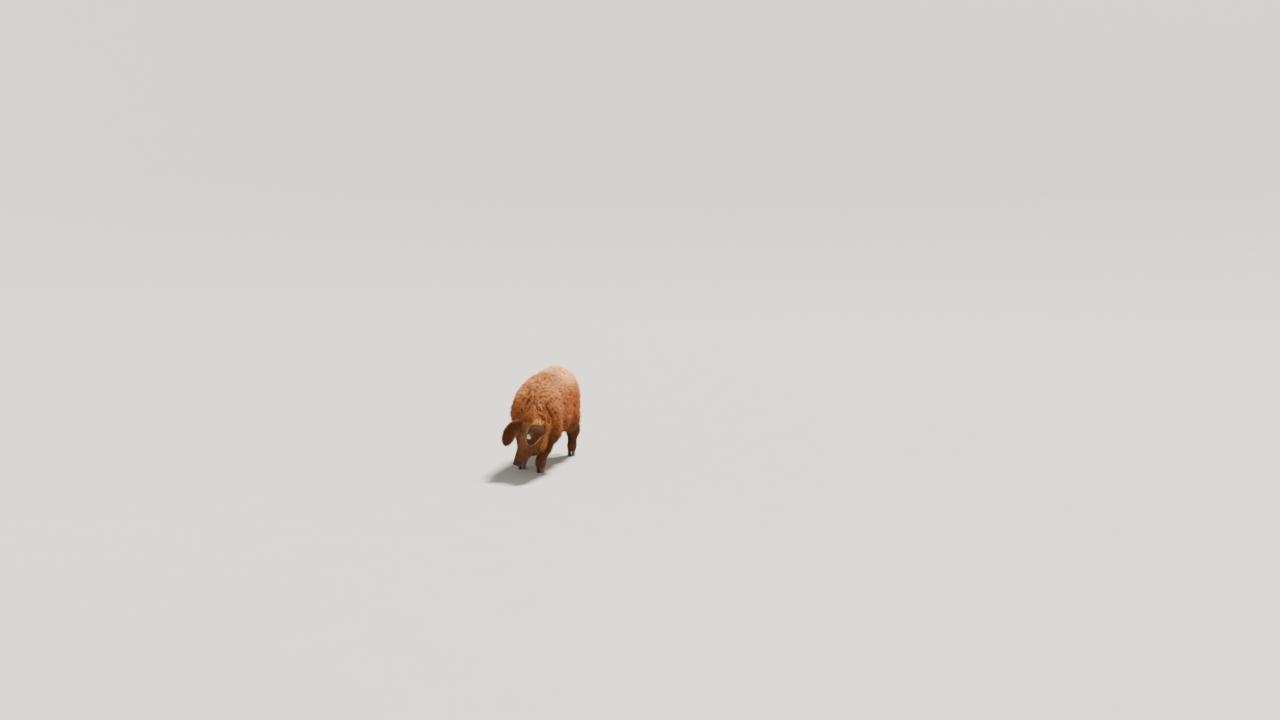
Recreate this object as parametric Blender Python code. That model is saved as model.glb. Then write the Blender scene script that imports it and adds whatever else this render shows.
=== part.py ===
"""A life-size museum model of a red mangalica pig grazing with its head down.

Metres, +Z up. The pig heads along -Y, its left side is +X, and its soles stand on Z = 0.
The body is one smooth field of rounded shapes, meshed once for each part and parted with thin
plane cuts. Clumps of woolly coat are fused onto it before the cuts.
"""

import math

import bmesh
import bpy
import numpy as np
from mathutils import Matrix, Vector

# Driving sizes of the standing pig, in metres.
WITHERS = 0.62
RUMP_TOP = 0.695
HALF_BARREL = 0.152
HALF_HAM = 0.157
BELLY = 0.245
REAR = 0.495
CORONET = 0.042
# The spine runs a little to the left of the drawing axis, and more so at the rump and shoulders.
MID = 0.036
GAP = 0.0003
SLOT = 0.0005
# Moves the pig from the axes it is drawn in to stand over the middle of its floor print.
SHIFT = Vector((-0.040, 0.055, 0.0))

# How far the coat stands out from the flesh, and how much of that is its closed inner core.
COAT_DEPTH = 0.045
CORE_DEPTH = 0.022
# Clumps of coat: the space between them on the trunk and where the coat is short, and their roots.
LONG_SPACING = 0.082
SHORT_SPACING = 0.052
CLUMP_SUNK = 0.016
CLUMP_SIDES = 6
LEAST_COAT = 0.16

# The head hangs from the poll towards the snout, and its brow faces a little to the pig's right.
POLL = Vector((0.097, -0.545, 0.392))
SNOUT = Vector((0.000, -0.665, 0.094))
BROW_FACES = Vector((-0.14, -0.89, 0.43))
DISC_AT = 0.330
NOSE_CUT = 0.316

# Where each foot stands, across and along.
FEET = {
    "front_left": (0.096, -0.376),
    "front_right": (-0.080, -0.262),
    "hind_left": (0.150, 0.372),
    "hind_right": (-0.082, 0.302),
}

COAT_RED = (0.36, 0.14, 0.055)
FACE_BROWN = (0.13, 0.065, 0.035)
EAR_BROWN = (0.10, 0.045, 0.025)
SNOUT_GREY = (0.045, 0.032, 0.028)
HORN_BLACK = (0.02, 0.017, 0.015)
EYE_BROWN = (0.03, 0.012, 0.006)
TAG_CREAM = (0.82, 0.76, 0.62)


# The head's own axes.
HEAD_LONG = (SNOUT - POLL).normalized()
HEAD_UP = (BROW_FACES - HEAD_LONG * BROW_FACES.dot(HEAD_LONG)).normalized()
HEAD_LEFT = HEAD_UP.cross(HEAD_LONG).normalized()


def on_head(along, left, up):
    """A place on the head: along it from the poll, to its left, and up out of the brow."""
    return POLL + HEAD_LONG * along + HEAD_LEFT * left + HEAD_UP * up


HEAD_TURN = np.array([HEAD_LONG, HEAD_LEFT, HEAD_UP], np.float32)
UPRIGHT = np.eye(3, dtype=np.float32)


def ball(centre, radii, soft=0.06, turn=UPRIGHT):
    """A rounded mass: about how far each point lies outside an ellipsoid."""
    centre = np.array(centre, np.float32)
    radii = np.array(radii, np.float32)

    def far(points):
        local = (points - centre) @ turn.T
        near = np.sqrt(((local / radii) ** 2).sum(1)) + 1e-6
        steep = np.sqrt(((local / radii**2) ** 2).sum(1)) + 1e-6
        return near * (near - 1) / steep

    return far, soft


def bar(start, end, first, last, soft=0.04):
    """A limb: how far each point lies outside a round bar that tapers from first to last."""
    start = np.array(start, np.float32)
    along = np.array(end, np.float32) - start
    square = float(along @ along)

    def far(points):
        local = points - start
        share = np.clip(local @ along / square, 0, 1)
        reach = np.linalg.norm(local - share[:, None] * along, axis=1)
        return reach - (first + (last - first) * share)

    return far, soft


def head_ball(place, radii, soft=0.03):
    """A rounded mass whose radii run along the head's own axes."""
    return ball(on_head(*place), radii, soft, HEAD_TURN)


def head_bar(start, end, first, last, soft=0.03):
    """A tapering bar between two places on the head."""
    return bar(on_head(*start), on_head(*end), first, last, soft)


def limb(*joints, soft=0.035):
    """Bars from joint to joint, each joint a place and a radius."""
    return [bar(a[0], b[0], a[1], b[1], soft) for a, b in zip(joints, joints[1:])]


def front_leg(side, foot):
    """The flesh of one fore leg, from the shoulder blade to the hoof's edge."""
    x, y = foot
    shoulder = (MID + 0.012 + side * 0.080, y * 0.35 - 0.215, 0.43)
    elbow = (MID + 0.010 + side * 0.086, y * 0.3 - 0.17, 0.295)
    knee = (0.5 * (elbow[0] + x), y * 0.72 - 0.075, 0.165)
    fetlock = (x, y + 0.012, 0.080)
    return limb(
        (shoulder, 0.078), (elbow, 0.056), (knee, 0.037), (fetlock, 0.029), ((x, y - 0.002, 0.03), 0.027)
    ) + [ball(elbow, (0.052, 0.068, 0.075), 0.05)]


def hind_leg(side, foot):
    """The flesh of one hind leg: the ham, the stifle, the hock that bends back, and the foot."""
    x, y = foot
    stifle = (MID + side * 0.112, y * 0.5 + 0.085, 0.345)
    hock = (x, y * 0.6 + 0.205, 0.205)
    fetlock = (x, y + 0.018, 0.080)
    return [
        ball((MID + side * 0.085, 0.335, 0.44), (HALF_HAM - 0.085, 0.148, 0.205), 0.06),
        ball(stifle, (0.056, 0.082, 0.105), 0.06),
    ] + limb((stifle, 0.064), (hock, 0.040), (fetlock, 0.030), ((x, y - 0.002, 0.03), 0.027))


def trunk():
    """The flesh of the barrel, back, chest, belly, rump and neck."""
    return [
        ball((MID, -0.01, 0.465), (HALF_BARREL, 0.40, 0.215), 0.05),
        bar((MID, -0.10, 0.545), (MID + 0.010, 0.25, RUMP_TOP - 0.120), 0.105, 0.120, 0.06),
        ball((MID + 0.005, 0.03, BELLY + 0.125), (0.142, 0.29, 0.130), 0.06),
        ball((MID + 0.010, 0.265, RUMP_TOP - 0.200), (0.148, REAR - 0.265, 0.200), 0.06),
        ball((MID + 0.018, -0.27, 0.425), (0.112, 0.210, 0.185), 0.06),
        ball((MID + 0.006, -0.235, WITHERS - 0.085), (0.080, 0.170, 0.085), 0.08),
        ball((MID + 0.082, -0.300, 0.425), (0.066, 0.115, 0.160), 0.05),
        ball((MID - 0.050, -0.270, 0.440), (0.052, 0.115, 0.150), 0.05),
        bar((MID + 0.012, -0.27, 0.465), (0.088, -0.490, 0.378), 0.132, 0.098, 0.07),
        ball((0.060, -0.430, 0.315), (0.085, 0.085, 0.080), 0.06),
    ]


def skull():
    """The flesh of the head: cranium, cheeks, jowl, muzzle, nose bridge, lower jaw and brows."""
    parts = [
        head_ball((0.085, 0, -0.042), (0.092, 0.080, 0.074), 0.04),
        head_ball((0.120, 0, -0.092), (0.098, 0.070, 0.054), 0.04),
        head_bar((0.140, 0, -0.020), (0.312, 0, -0.003), 0.063, 0.0350, 0.03),
        head_bar((0.115, 0, 0.004), (0.305, 0, 0.010), 0.032, 0.021, 0.025),
        head_bar((0.150, 0, -0.090), (0.282, 0, -0.046), 0.040, 0.024, 0.025),
        head_ball((0.284, 0, -0.052), (0.026, 0.024, 0.018), 0.015),
    ]
    for side in (-1, 1):
        parts += [
            head_ball((0.128, side * 0.052, -0.066), (0.082, 0.048, 0.070), 0.035),
            head_ball((0.112, side * 0.050, 0.006), (0.034, 0.024, 0.017), 0.025),
            head_ball((0.030, side * 0.068, -0.016), (0.040, 0.030, 0.036), 0.03),
            head_bar((0.210, side * 0.036, -0.038), (0.292, side * 0.023, -0.027), 0.018, 0.013, 0.015),
        ]
    return parts


def melted(parts, points):
    """How far points lie outside the parts, each melted into the ones before it."""
    total = None
    for far, soft in parts:
        one = far(points)
        if total is None:
            total = one
            continue
        share = np.clip(0.5 + 0.5 * (one - total) / soft, 0, 1)
        total = one + (total - one) * share - soft * share * (1 - share)
    return total


def carved(total, far, soft):
    """Takes a shape away from a field, with a soft edge."""
    share = np.clip(0.5 - 0.5 * (total + far) / soft, 0, 1)
    return total - (total + far) * share + soft * share * (1 - share)


def all_legs():
    """The flesh of the four legs."""
    parts = []
    for name, foot in FEET.items():
        side = 1 if name.endswith("left") else -1
        make = front_leg if name.startswith("front") else hind_leg
        parts += make(side, foot)
    return parts


TRUNK_AND_LEGS = trunk() + all_legs()
TRUNK_AND_HEAD = trunk() + skull()


def smooth_step(low, high, value):
    """0 below low, 1 above high, and a smooth rise between them."""
    share = np.clip((value - low) / (high - low), 0, 1)
    return share * share * (3 - 2 * share)


def coat_share(points):
    """How deep the coat is at each point, from 0 on bare skin to 1 on the trunk."""
    local = (points - np.array(POLL, np.float32)) @ HEAD_TURN.T
    along, up = local[:, 0], local[:, 2]
    head = 1 - 0.97 * smooth_step(-0.06, 0.10, along + 0.35 * (up + 0.03))
    middle = np.array(on_head(0.16, 0, -0.03), np.float32)
    near_head = 1 - smooth_step(0.22, 0.30, np.linalg.norm(points - middle, axis=1))
    legs = 0.08 + 0.92 * smooth_step(0.12, 0.34, points[:, 2])
    return (1 + (head - 1) * near_head) * (legs + (1 - legs) * near_head)


def flesh(points):
    """How far each point lies outside the bare body, with the mouth line cut in."""
    total = np.minimum(melted(TRUNK_AND_LEGS, points), melted(TRUNK_AND_HEAD, points))
    for side in (-1, 1):
        groove, _ = bar(on_head(0.165, side * 0.056, -0.060), on_head(0.312, side * 0.027, -0.034), 0.0035, 0.003)
        total = carved(total, groove(points), 0.006)
    return total


def coat_core(points):
    """How far each point lies outside the closed core of the coat."""
    return flesh(points) - CORE_DEPTH * coat_share(points)


def way_out(points, step=0.004):
    """The way straight out of the coat's core at each point."""
    points = np.asarray(points, np.float32)
    slope = np.stack(
        [coat_core(points + step * e) - coat_core(points - step * e) for e in np.eye(3, dtype=np.float32)], 1
    )
    return slope / np.linalg.norm(slope, axis=1, keepdims=True)


def lie_of_coat(place):
    """Which way the coat runs: back and down on the trunk, down the legs, up the head from the snout."""
    trunk_way = Vector((2.0 * (place.x - MID), 1.0, -0.45))
    leg_way = Vector((0.0, 0.25, -1.0))
    low = float(smooth_step(0.34, 0.24, place.z))
    on_the_head = float(smooth_step(0.30, 0.20, (place - on_head(0.16, 0, -0.03)).length))
    way = trunk_way * (1 - low) + leg_way * low
    return way * (1 - on_the_head) - HEAD_LONG * on_the_head


def unpinched(value):
    """Fills grid corners in wherever two sheets of the surface would meet along an edge or point."""
    low, high = slice(None, -1), slice(1, None)
    corners = [(a, b, c) for a in (low, high) for b in (low, high) for c in (low, high)]
    for _ in range(6):
        for axis in range(3):
            view = np.moveaxis(value, axis, 0)
            square = [view[:, a, b] for a, b in ((low, low), (high, low), (high, high), (low, high))]
            solid = [s < 0 for s in square]
            pinched = (solid[0] == solid[2]) & (solid[1] == solid[3]) & (solid[0] != solid[1])
            for s in square:
                s[pinched] = np.minimum(s[pinched], -1e-5)
        solid = [value[c] < 0 for c in corners]
        count = sum(s.astype(np.int8) for s in solid)
        for one in range(4):
            both = solid[one] & solid[7 - one] & (count == 2)
            neither = ~solid[one] & ~solid[7 - one] & (count == 6)
            for c in corners:
                value[c][both | neither] = np.minimum(value[c][both | neither], -1e-5)


def net(name, field, low, high, cell):
    """A closed mesh of quads where the field is zero, its points drawn onto the surface."""
    axes = [np.arange(a, b + cell, cell, dtype=np.float32) for a, b in zip(low, high)]
    grid = np.stack(np.meshgrid(*axes, indexing="ij"), -1)
    value = field(grid.reshape(-1, 3)).reshape(grid.shape[:3])
    value[0], value[-1] = 1, 1
    value[:, 0], value[:, -1] = 1, 1
    value[:, :, 0], value[:, :, -1] = 1, 1
    unpinched(value)
    inside = value < 0
    cells = tuple(n - 1 for n in value.shape)
    total = np.zeros(cells + (3,), np.float32)
    count = np.zeros(cells, np.int32)
    crossings = []
    for axis in range(3):
        near = np.moveaxis(value, axis, 0)[:-1]
        far = np.moveaxis(value, axis, 0)[1:]
        crossed = np.moveaxis((near < 0) != (far < 0), 0, axis)
        at = np.argwhere(crossed)
        step = np.eye(3, dtype=int)[axis]
        first, second = value[tuple(at.T)], value[tuple((at + step).T)]
        place = grid[tuple(at.T)] + (first / (first - second))[:, None] * step * cell
        ways = [np.array(w) for w in ((0, 0), (1, 0), (1, 1), (0, 1))]
        others = [(axis + 1) % 3, (axis + 2) % 3]
        around = []
        for way in ways:
            cell_at = at.copy()
            cell_at[:, others[0]] -= way[0]
            cell_at[:, others[1]] -= way[1]
            around.append(cell_at)
            np.add.at(total, tuple(cell_at.T), place)
            np.add.at(count, tuple(cell_at.T), 1)
        crossings.append((around, inside[tuple(at.T)]))
    used = np.argwhere(count > 0)
    number = np.full(cells, -1, np.int64)
    number[tuple(used.T)] = np.arange(len(used))
    points = total[tuple(used.T)] / count[tuple(used.T)][:, None]
    faces = []
    for around, solid_first in crossings:
        quad = np.stack([number[tuple(c.T)] for c in around], 1)
        faces.append(np.where(solid_first[:, None], quad[:, ::-1], quad))
    faces = np.concatenate(faces)
    for _ in range(2):
        here = field(points)
        slope = np.stack(
            [field(points + cell * 0.1 * e) - here for e in np.eye(3, dtype=np.float32)], 1
        ) / (cell * 0.1)
        square = np.maximum((slope**2).sum(1), 0.25)
        move = np.clip(here / square, -cell * 0.4, cell * 0.4)
        points = points - move[:, None] * slope
    return mesh_object(name, points.tolist(), faces[:, ::-1].tolist())


def mesh_object(name, points, faces):
    """A new object in the scene from points and faces."""
    mesh = bpy.data.meshes.new(name)
    mesh.from_pydata(points, [], faces)
    mesh.validate()
    obj = bpy.data.objects.new(name, mesh)
    bpy.context.scene.collection.objects.link(obj)
    return obj


def settle(obj):
    """Bakes the object's modifiers into its own mesh."""
    bpy.context.view_layer.update()
    graph = bpy.context.evaluated_depsgraph_get()
    mesh = bpy.data.meshes.new_from_object(obj.evaluated_get(graph))
    old = obj.data
    obj.modifiers.clear()
    obj.data = mesh
    bpy.data.meshes.remove(old)
    return obj


def thinned(obj, triangles):
    """Collapses small faces until about this many triangles are left."""
    obj.data.calc_loop_triangles()
    now = len(obj.data.loop_triangles)
    if now > triangles:
        modifier = obj.modifiers.new("thin", "DECIMATE")
        modifier.ratio = triangles / now
        settle(obj)
    return obj


def combined(obj, others, operation, solver="EXACT"):
    """Joins others to obj, cuts them from it or keeps what they share, then removes them."""
    group = bpy.data.collections.new("tools")
    bpy.context.scene.collection.children.link(group)
    for other in others:
        for holder in list(other.users_collection):
            holder.objects.unlink(other)
        group.objects.link(other)
    modifier = obj.modifiers.new("combine", "BOOLEAN")
    modifier.operation = operation
    modifier.operand_type = "COLLECTION"
    modifier.collection = group
    modifier.solver = solver
    settle(obj)
    for other in others:
        bpy.data.objects.remove(other)
    bpy.data.collections.remove(group)
    return obj


def largest_only(obj):
    """Keeps the largest closed surface of an object and drops loose scraps and sealed hollows."""
    shape = bmesh.new()
    shape.from_mesh(obj.data)
    bmesh.ops.remove_doubles(shape, verts=shape.verts, dist=1e-6)
    bmesh.ops.triangulate(shape, faces=shape.faces)
    shape.faces.ensure_lookup_table()
    seen, bodies = set(), []
    for face in shape.faces:
        if face.index in seen:
            continue
        seen.add(face.index)
        stack, body = [face], []
        while stack:
            one = stack.pop()
            body.append(one)
            for edge in one.edges:
                for near in edge.link_faces:
                    if near.index not in seen:
                        seen.add(near.index)
                        stack.append(near)
        bodies.append(body)
    bodies.sort(key=lambda body: sum(f.calc_area() for f in body), reverse=True)
    spare = [f for body in bodies[1:] for f in body]
    bmesh.ops.delete(shape, geom=spare, context="FACES")
    shape.to_mesh(obj.data)
    shape.free()
    return obj


def cut_clear(part, piece):
    """Cuts a part clear of a piece set into it, with a thin gap all round."""
    shape = bmesh.new()
    shape.from_mesh(piece.data)
    shape.normal_update()
    moves = [v.normal * SLOT * max(1.0, min(3.0, v.calc_shell_factor())) for v in shape.verts]
    for vert, move in zip(shape.verts, moves):
        vert.co += move
    mesh = bpy.data.meshes.new("slot")
    shape.to_mesh(mesh)
    shape.free()
    slot = bpy.data.objects.new("slot", mesh)
    bpy.context.scene.collection.objects.link(slot)
    return combined(part, [slot], "DIFFERENCE")


def region(name, planes, grow=0.0):
    """The closed block inside a set of planes, each a place and the way out of the block."""
    shape = bmesh.new()
    bmesh.ops.create_cube(shape, size=3.0)
    for place, way in planes:
        way = Vector(way).normalized()
        cut = bmesh.ops.bisect_plane(
            shape,
            geom=shape.verts[:] + shape.edges[:] + shape.faces[:],
            plane_co=Vector(place) + way * grow,
            plane_no=way,
            clear_outer=True,
        )
        edges = [e for e in cut["geom_cut"] if isinstance(e, bmesh.types.BMEdge)]
        bmesh.ops.edgeloop_fill(shape, edges=edges)
    bmesh.ops.recalc_face_normals(shape, faces=shape.faces)
    mesh = bpy.data.meshes.new(name)
    shape.to_mesh(mesh)
    shape.free()
    obj = bpy.data.objects.new(name, mesh)
    bpy.context.scene.collection.objects.link(obj)
    return obj


def beyond(planes, points):
    """How far points lie outside a set of planes."""
    out = None
    for place, way in planes:
        way = np.array(Vector(way).normalized(), np.float32)
        one = (points - np.array(place, np.float32)) @ way
        out = one if out is None else np.maximum(out, one)
    return out


# Plane cuts that part the body, in the order in which the parts are taken.
NECK_WAY = Vector((0.333, -0.865, -0.374))
BACK_OF_HEAD = (on_head(-0.004, 0, 0), -(HEAD_LONG * 0.885 + HEAD_UP * 0.466))
BEFORE_LEGS = ((0, -0.418, 0.22), (0, 1, -0.386))
NECK_BASE = ((0.03, -0.345, 0.43), -NECK_WAY)
UNDER_NECK = ((0, -0.36, 0.27), (0, 0.819, -0.573))
NOSE_END = (on_head(NOSE_CUT, 0, 0), HEAD_LONG)
RIGHT_OF_HEAD = (on_head(0, -0.120, 0), -HEAD_LEFT)
FRONT_TOP = 0.26
HIND_TOP = 0.28


def leg_planes(name):
    """The planes round one leg: its top, its foot's end, its inner side, and the one towards mid-body."""
    side = 1 if name.endswith("left") else -1
    y = FEET[name][1]
    if name.startswith("front"):
        top = FRONT_TOP
        towards_belly = ((0, y * 0.3 - 0.095, top), (0, 1, -0.15))
    else:
        top = HIND_TOP
        towards_belly = ((0, y * 0.5 + 0.025, top), (0, -1, -0.30))
    return [
        ((0, 0, top), (0, 0, 1)),
        ((0, 0, CORONET), (0, 0, -1)),
        ((MID + side * 0.014, 0, 0), (-side, 0, 0)),
        towards_belly,
    ]


REGIONS = {
    "head": [BACK_OF_HEAD, BEFORE_LEGS, NOSE_END, RIGHT_OF_HEAD],
    "neck": [NECK_BASE, UNDER_NECK],
    "leg_front_left": leg_planes("front_left"),
    "leg_front_right": leg_planes("front_right"),
    "leg_hind_left": leg_planes("hind_left"),
    "leg_hind_right": leg_planes("hind_right"),
    "torso": [((0, 0, 0.1), (0, 0, -1))],
}

# For each part: the corners of the space it lies in, its grid, the triangles its core keeps, and
# those it keeps with its clumps of coat.
MESHING = {
    "head": ((-0.16, -0.80, 0.02), (0.30, -0.34, 0.52), 0.0045, 2300, 2500),
    "neck": ((-0.24, -0.68, 0.12), (0.34, -0.16, 0.74), 0.010, 340, 1150),
    "leg_front_left": ((0.0, -0.50, 0.02), (0.26, -0.06, 0.33), 0.006, 360, 830),
    "leg_front_right": ((-0.26, -0.48, 0.02), (0.06, -0.06, 0.33), 0.006, 360, 830),
    "leg_hind_left": ((-0.02, 0.06, 0.02), (0.32, 0.62, 0.37), 0.007, 400, 880),
    "leg_hind_right": ((-0.32, 0.06, 0.02), (0.06, 0.62, 0.37), 0.007, 400, 880),
    "torso": ((-0.34, -0.60, 0.14), (0.34, 0.64, 0.82), 0.0125, 1000, 5450),
}


def scattered(points, spacing, seed):
    """Picks points at random so that each keeps its spacing from the others."""
    kept = []
    for i in np.random.default_rng(seed).permutation(len(points)):
        far = np.linalg.norm(points[kept] - points[i], axis=1)
        if not kept or (far > 0.5 * (spacing[kept] + spacing[i])).all():
            kept.append(i)
    return kept


def clump_places():
    """Where each clump of coat stands, its way out, its spacing and how deep the coat is there."""
    body = net("body", coat_core, (-0.30, -0.62, 0.08), (0.34, 0.62, 0.82), 0.016)
    points = np.array([tuple(v.co) for v in body.data.vertices], np.float32)
    bpy.data.objects.remove(body)
    share = coat_share(points)
    points, share = points[share > LEAST_COAT], share[share > LEAST_COAT]
    spacing = SHORT_SPACING + (LONG_SPACING - SHORT_SPACING) * smooth_step(0.45, 1.0, share)
    kept = scattered(points, spacing, seed=5)
    points, share, spacing = points[kept], share[kept], spacing[kept]
    return list(zip(points, way_out(points), spacing, share))


def clump(place, out, spacing, share, random):
    """One rounded clump of curls with a sunk root, leaning along the lie of the coat."""
    place, out = Vector(place.tolist()), Vector(out.tolist())
    lie = lie_of_coat(place)
    lie = (lie - out * lie.dot(out)).normalized()
    across = out.cross(lie)
    turn = random.uniform(0, math.pi)
    wide = spacing * random.uniform(0.66, 0.76)
    tall = (COAT_DEPTH - CORE_DEPTH) * share * random.uniform(0.86, 1.0)
    rings = []
    for height, radius, lean in ((-CLUMP_SUNK, 1.14, -0.04), (tall * 0.50, 0.72, 0.06), (tall, 0.28, 0.20)):
        middle = place + out * height + lie * (wide * lean)
        rings.append(oval(middle, lie, across, wide * radius * 1.08, wide * radius * 0.92, CLUMP_SIDES, turn))
    return loft("clump", rings)


def body_part(name, clumps):
    """One part of the body with its clumps of coat, made a little past its cuts and cut to them."""
    low, high, cell, core_triangles, all_triangles = MESHING[name]
    names = list(REGIONS)
    before = names[: names.index(name)]
    margin = 0.03

    def beyond_part(points):
        out = beyond(REGIONS[name], points)
        for other in before:
            out = np.maximum(out, -beyond(REGIONS[other], points))
        return out

    def field(points):
        return np.maximum(coat_core(points), beyond_part(points) - margin)

    part = thinned(net(name, field, low, high, cell), core_triangles)
    random = np.random.default_rng(len(name))
    near = [c for c in clumps if beyond_part(c[0][None])[0] < margin * 0.5]
    combined(part, [clump(*c, random) for c in near], "UNION")
    thinned(largest_only(part), all_triangles)
    combined(part, [region(name + "_cut", REGIONS[name])], "INTERSECT")
    for other in before:
        combined(part, [region(other + "_cut", REGIONS[other], GAP)], "DIFFERENCE")
    return largest_only(part)


def faced_out(obj):
    """Splits an object's faces into triangles and turns them all outwards."""
    shape = bmesh.new()
    shape.from_mesh(obj.data)
    bmesh.ops.triangulate(shape, faces=shape.faces)
    bmesh.ops.recalc_face_normals(shape, faces=shape.faces)
    shape.to_mesh(obj.data)
    shape.free()
    return obj


def loft(name, rings):
    """A closed solid through rings of places, each ring with as many places as the next."""
    size = len(rings[0])
    points = [tuple(place) for ring in rings for place in ring]
    faces = []
    for row in range(len(rings) - 1):
        for i in range(size):
            j = (i + 1) % size
            a, b = row * size, (row + 1) * size
            faces.append((a + i, a + j, b + j, b + i))
    last = (len(rings) - 1) * size
    faces.append(tuple(reversed(range(size))))
    faces.append(tuple(range(last, last + size)))
    return faced_out(mesh_object(name, points, faces))


def oval(centre, across, up, half_across, half_up, sides, turn=0.0):
    """A ring of places on an oval."""
    ring = []
    for i in range(sides):
        angle = 2 * math.pi * i / sides + turn
        ring.append(centre + across * (half_across * math.cos(angle)) + up * (half_up * math.sin(angle)))
    return ring


def curve(places, share):
    """A place on the smooth line through several places, share running from 0 to 1."""
    places = [Vector(p) for p in places]
    at = min(share, 0.99999) * (len(places) - 1)
    i = int(at)
    t = at - i
    a, b = places[max(i - 1, 0)], places[i]
    c, d = places[i + 1], places[min(i + 2, len(places) - 1)]
    return 0.5 * (2 * b + (c - a) * t + (2 * a - 5 * b + 4 * c - d) * t**2 + (3 * b - a - 3 * c + d) * t**3)


# Each ear: its middle line from root to tip on the head, and which way its hollow side faces.
EARS = {
    "ear_left": {
        "line": [(0.004, 0.052, -0.012), (0.020, 0.082, 0.044), (0.075, 0.086, 0.098), (0.168, 0.080, 0.095)],
        "hollow": (0.30, -0.45, -0.84),
    },
    "ear_right": {
        "line": [(0.010, -0.058, -0.012), (0.044, -0.118, 0.010), (0.115, -0.158, 0.010), (0.215, -0.152, 0.004)],
        "hollow": (0.57, 0.60, 0.44),
    },
}
EAR_WIDE = 0.112
EAR_ROWS = 12
EAR_COLUMNS = 8


def ear_place(name, share, across):
    """A place on the middle sheet of an ear: share from root to tip, across from -1 to 1."""
    line = EARS[name]["line"]
    middle = curve(line, share)
    ahead = (curve(line, min(share + 0.02, 1.0)) - curve(line, max(share - 0.02, 0.0))).normalized()
    hollow = Vector(EARS[name]["hollow"])
    hollow = (hollow - ahead * hollow.dot(ahead)).normalized()
    sideways = ahead.cross(hollow).normalized()
    root = 0.44 + 0.56 * min(1.0, share / 0.42) ** 0.8
    tip = math.sqrt(max(0.0, 1 - max(0.0, (share - 0.42) / 0.58) ** 2.3))
    half = 0.5 * EAR_WIDE * root * max(tip, 0.12)
    cup = 0.42 - 0.22 * share
    angle = across * (0.5 + cup * 1.6)
    wide = math.sin(angle) / max(math.sin(0.5 + cup * 1.6), 0.1)
    return on_head(*(middle + sideways * (half * wide) + hollow * (half * cup * (1.5 * across**2 - 0.5))))


def ear_sheet(name):
    """The ear's middle sheet as a grid of places, with the way out of its back at each."""
    rows, columns = EAR_ROWS, EAR_COLUMNS
    grid = []
    for i in range(rows + 1):
        grid.append([ear_place(name, i / rows, 2 * j / columns - 1) for j in range(columns + 1)])
    ways = []
    for i in range(rows + 1):
        line = []
        for j in range(columns + 1):
            down = grid[min(i + 1, rows)][j] - grid[max(i - 1, 0)][j]
            over = grid[i][min(j + 1, columns)] - grid[i][max(j - 1, 0)]
            line.append(over.cross(down).normalized())
        ways.append(line)
    return grid, ways


def ear(name):
    """One cupped ear: a sheet that thins towards its rim and tip."""
    grid, ways = ear_sheet(name)
    rows, columns = EAR_ROWS, EAR_COLUMNS
    points, faces = [], []
    for way in (1, -1):
        for i in range(rows + 1):
            for j in range(columns + 1):
                across = abs(2 * j / columns - 1)
                thick = (0.0050 - 0.0022 * across**2) * (1.5 - 0.8 * i / rows) * 0.8
                points.append(grid[i][j] + ways[i][j] * way * thick)
    size = (rows + 1) * (columns + 1)

    def at(i, j, back):
        return back * size + i * (columns + 1) + j

    for i in range(rows):
        for j in range(columns):
            faces.append((at(i, j, 0), at(i, j + 1, 0), at(i + 1, j + 1, 0), at(i + 1, j, 0)))
            faces.append((at(i, j, 1), at(i + 1, j, 1), at(i + 1, j + 1, 1), at(i, j + 1, 1)))
    rim = [(0, j) for j in range(columns)] + [(i, columns) for i in range(rows)]
    rim += [(rows, j) for j in range(columns, 0, -1)] + [(i, 0) for i in range(rows, 0, -1)]
    for k in range(len(rim)):
        a, b = rim[k], rim[(k + 1) % len(rim)]
        faces.append((at(*a, 0), at(*a, 1), at(*b, 1), at(*b, 0)))
    return faced_out(mesh_object(name, [tuple(p) for p in points], faces))


EYE_RADIUS = 0.0115
LID_RADIUS = 0.0150
EYE_AT = (0.150, -0.012)


def eye_place(side):
    """The centre of one eye, sunk a little under the side of the brow, and the way it looks."""
    along, up = EYE_AT
    look = (HEAD_LONG * 0.16 + HEAD_LEFT * side * 0.86 + HEAD_UP * 0.48).normalized()
    steps = np.linspace(0.0, 0.12, 241)
    start = on_head(along, side * 0.02, up)
    line = np.array([tuple(start + look * float(s)) for s in steps], np.float32)
    reach = float(steps[np.argmax(coat_core(line) > 0)])
    return start + look * (reach - 0.0080), look


def sphere(name, centre, radius, detail):
    """A ball of near-equal triangles."""
    shape = bmesh.new()
    bmesh.ops.create_icosphere(shape, subdivisions=detail, radius=radius)
    mesh = bpy.data.meshes.new(name)
    shape.to_mesh(mesh)
    shape.free()
    mesh.transform(Matrix.Translation(centre))
    obj = bpy.data.objects.new(name, mesh)
    bpy.context.scene.collection.objects.link(obj)
    return obj


def almond(side):
    """The opening between the lids of one eye, as a solid that runs outwards from the eye."""
    centre, look = eye_place(side)
    along = (HEAD_LONG - look * HEAD_LONG.dot(look)).normalized()
    along = (along + HEAD_UP * 0.18 * -1).normalized()
    up = look.cross(along).normalized() * side
    rings = []
    for out, scale in ((0.004, 0.8), (0.030, 1.5)):
        ring = []
        for i in range(12):
            angle = 2 * math.pi * i / 12
            lift = math.sin(angle) * abs(math.sin(angle)) ** 0.25
            ring.append(centre + look * out + (along * math.cos(angle) * 0.0098 + up * lift * 0.0052) * scale)
        rings.append(ring)
    return loft("lid_opening", rings)


DISC_HALF = (0.0385, 0.0345)


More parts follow.
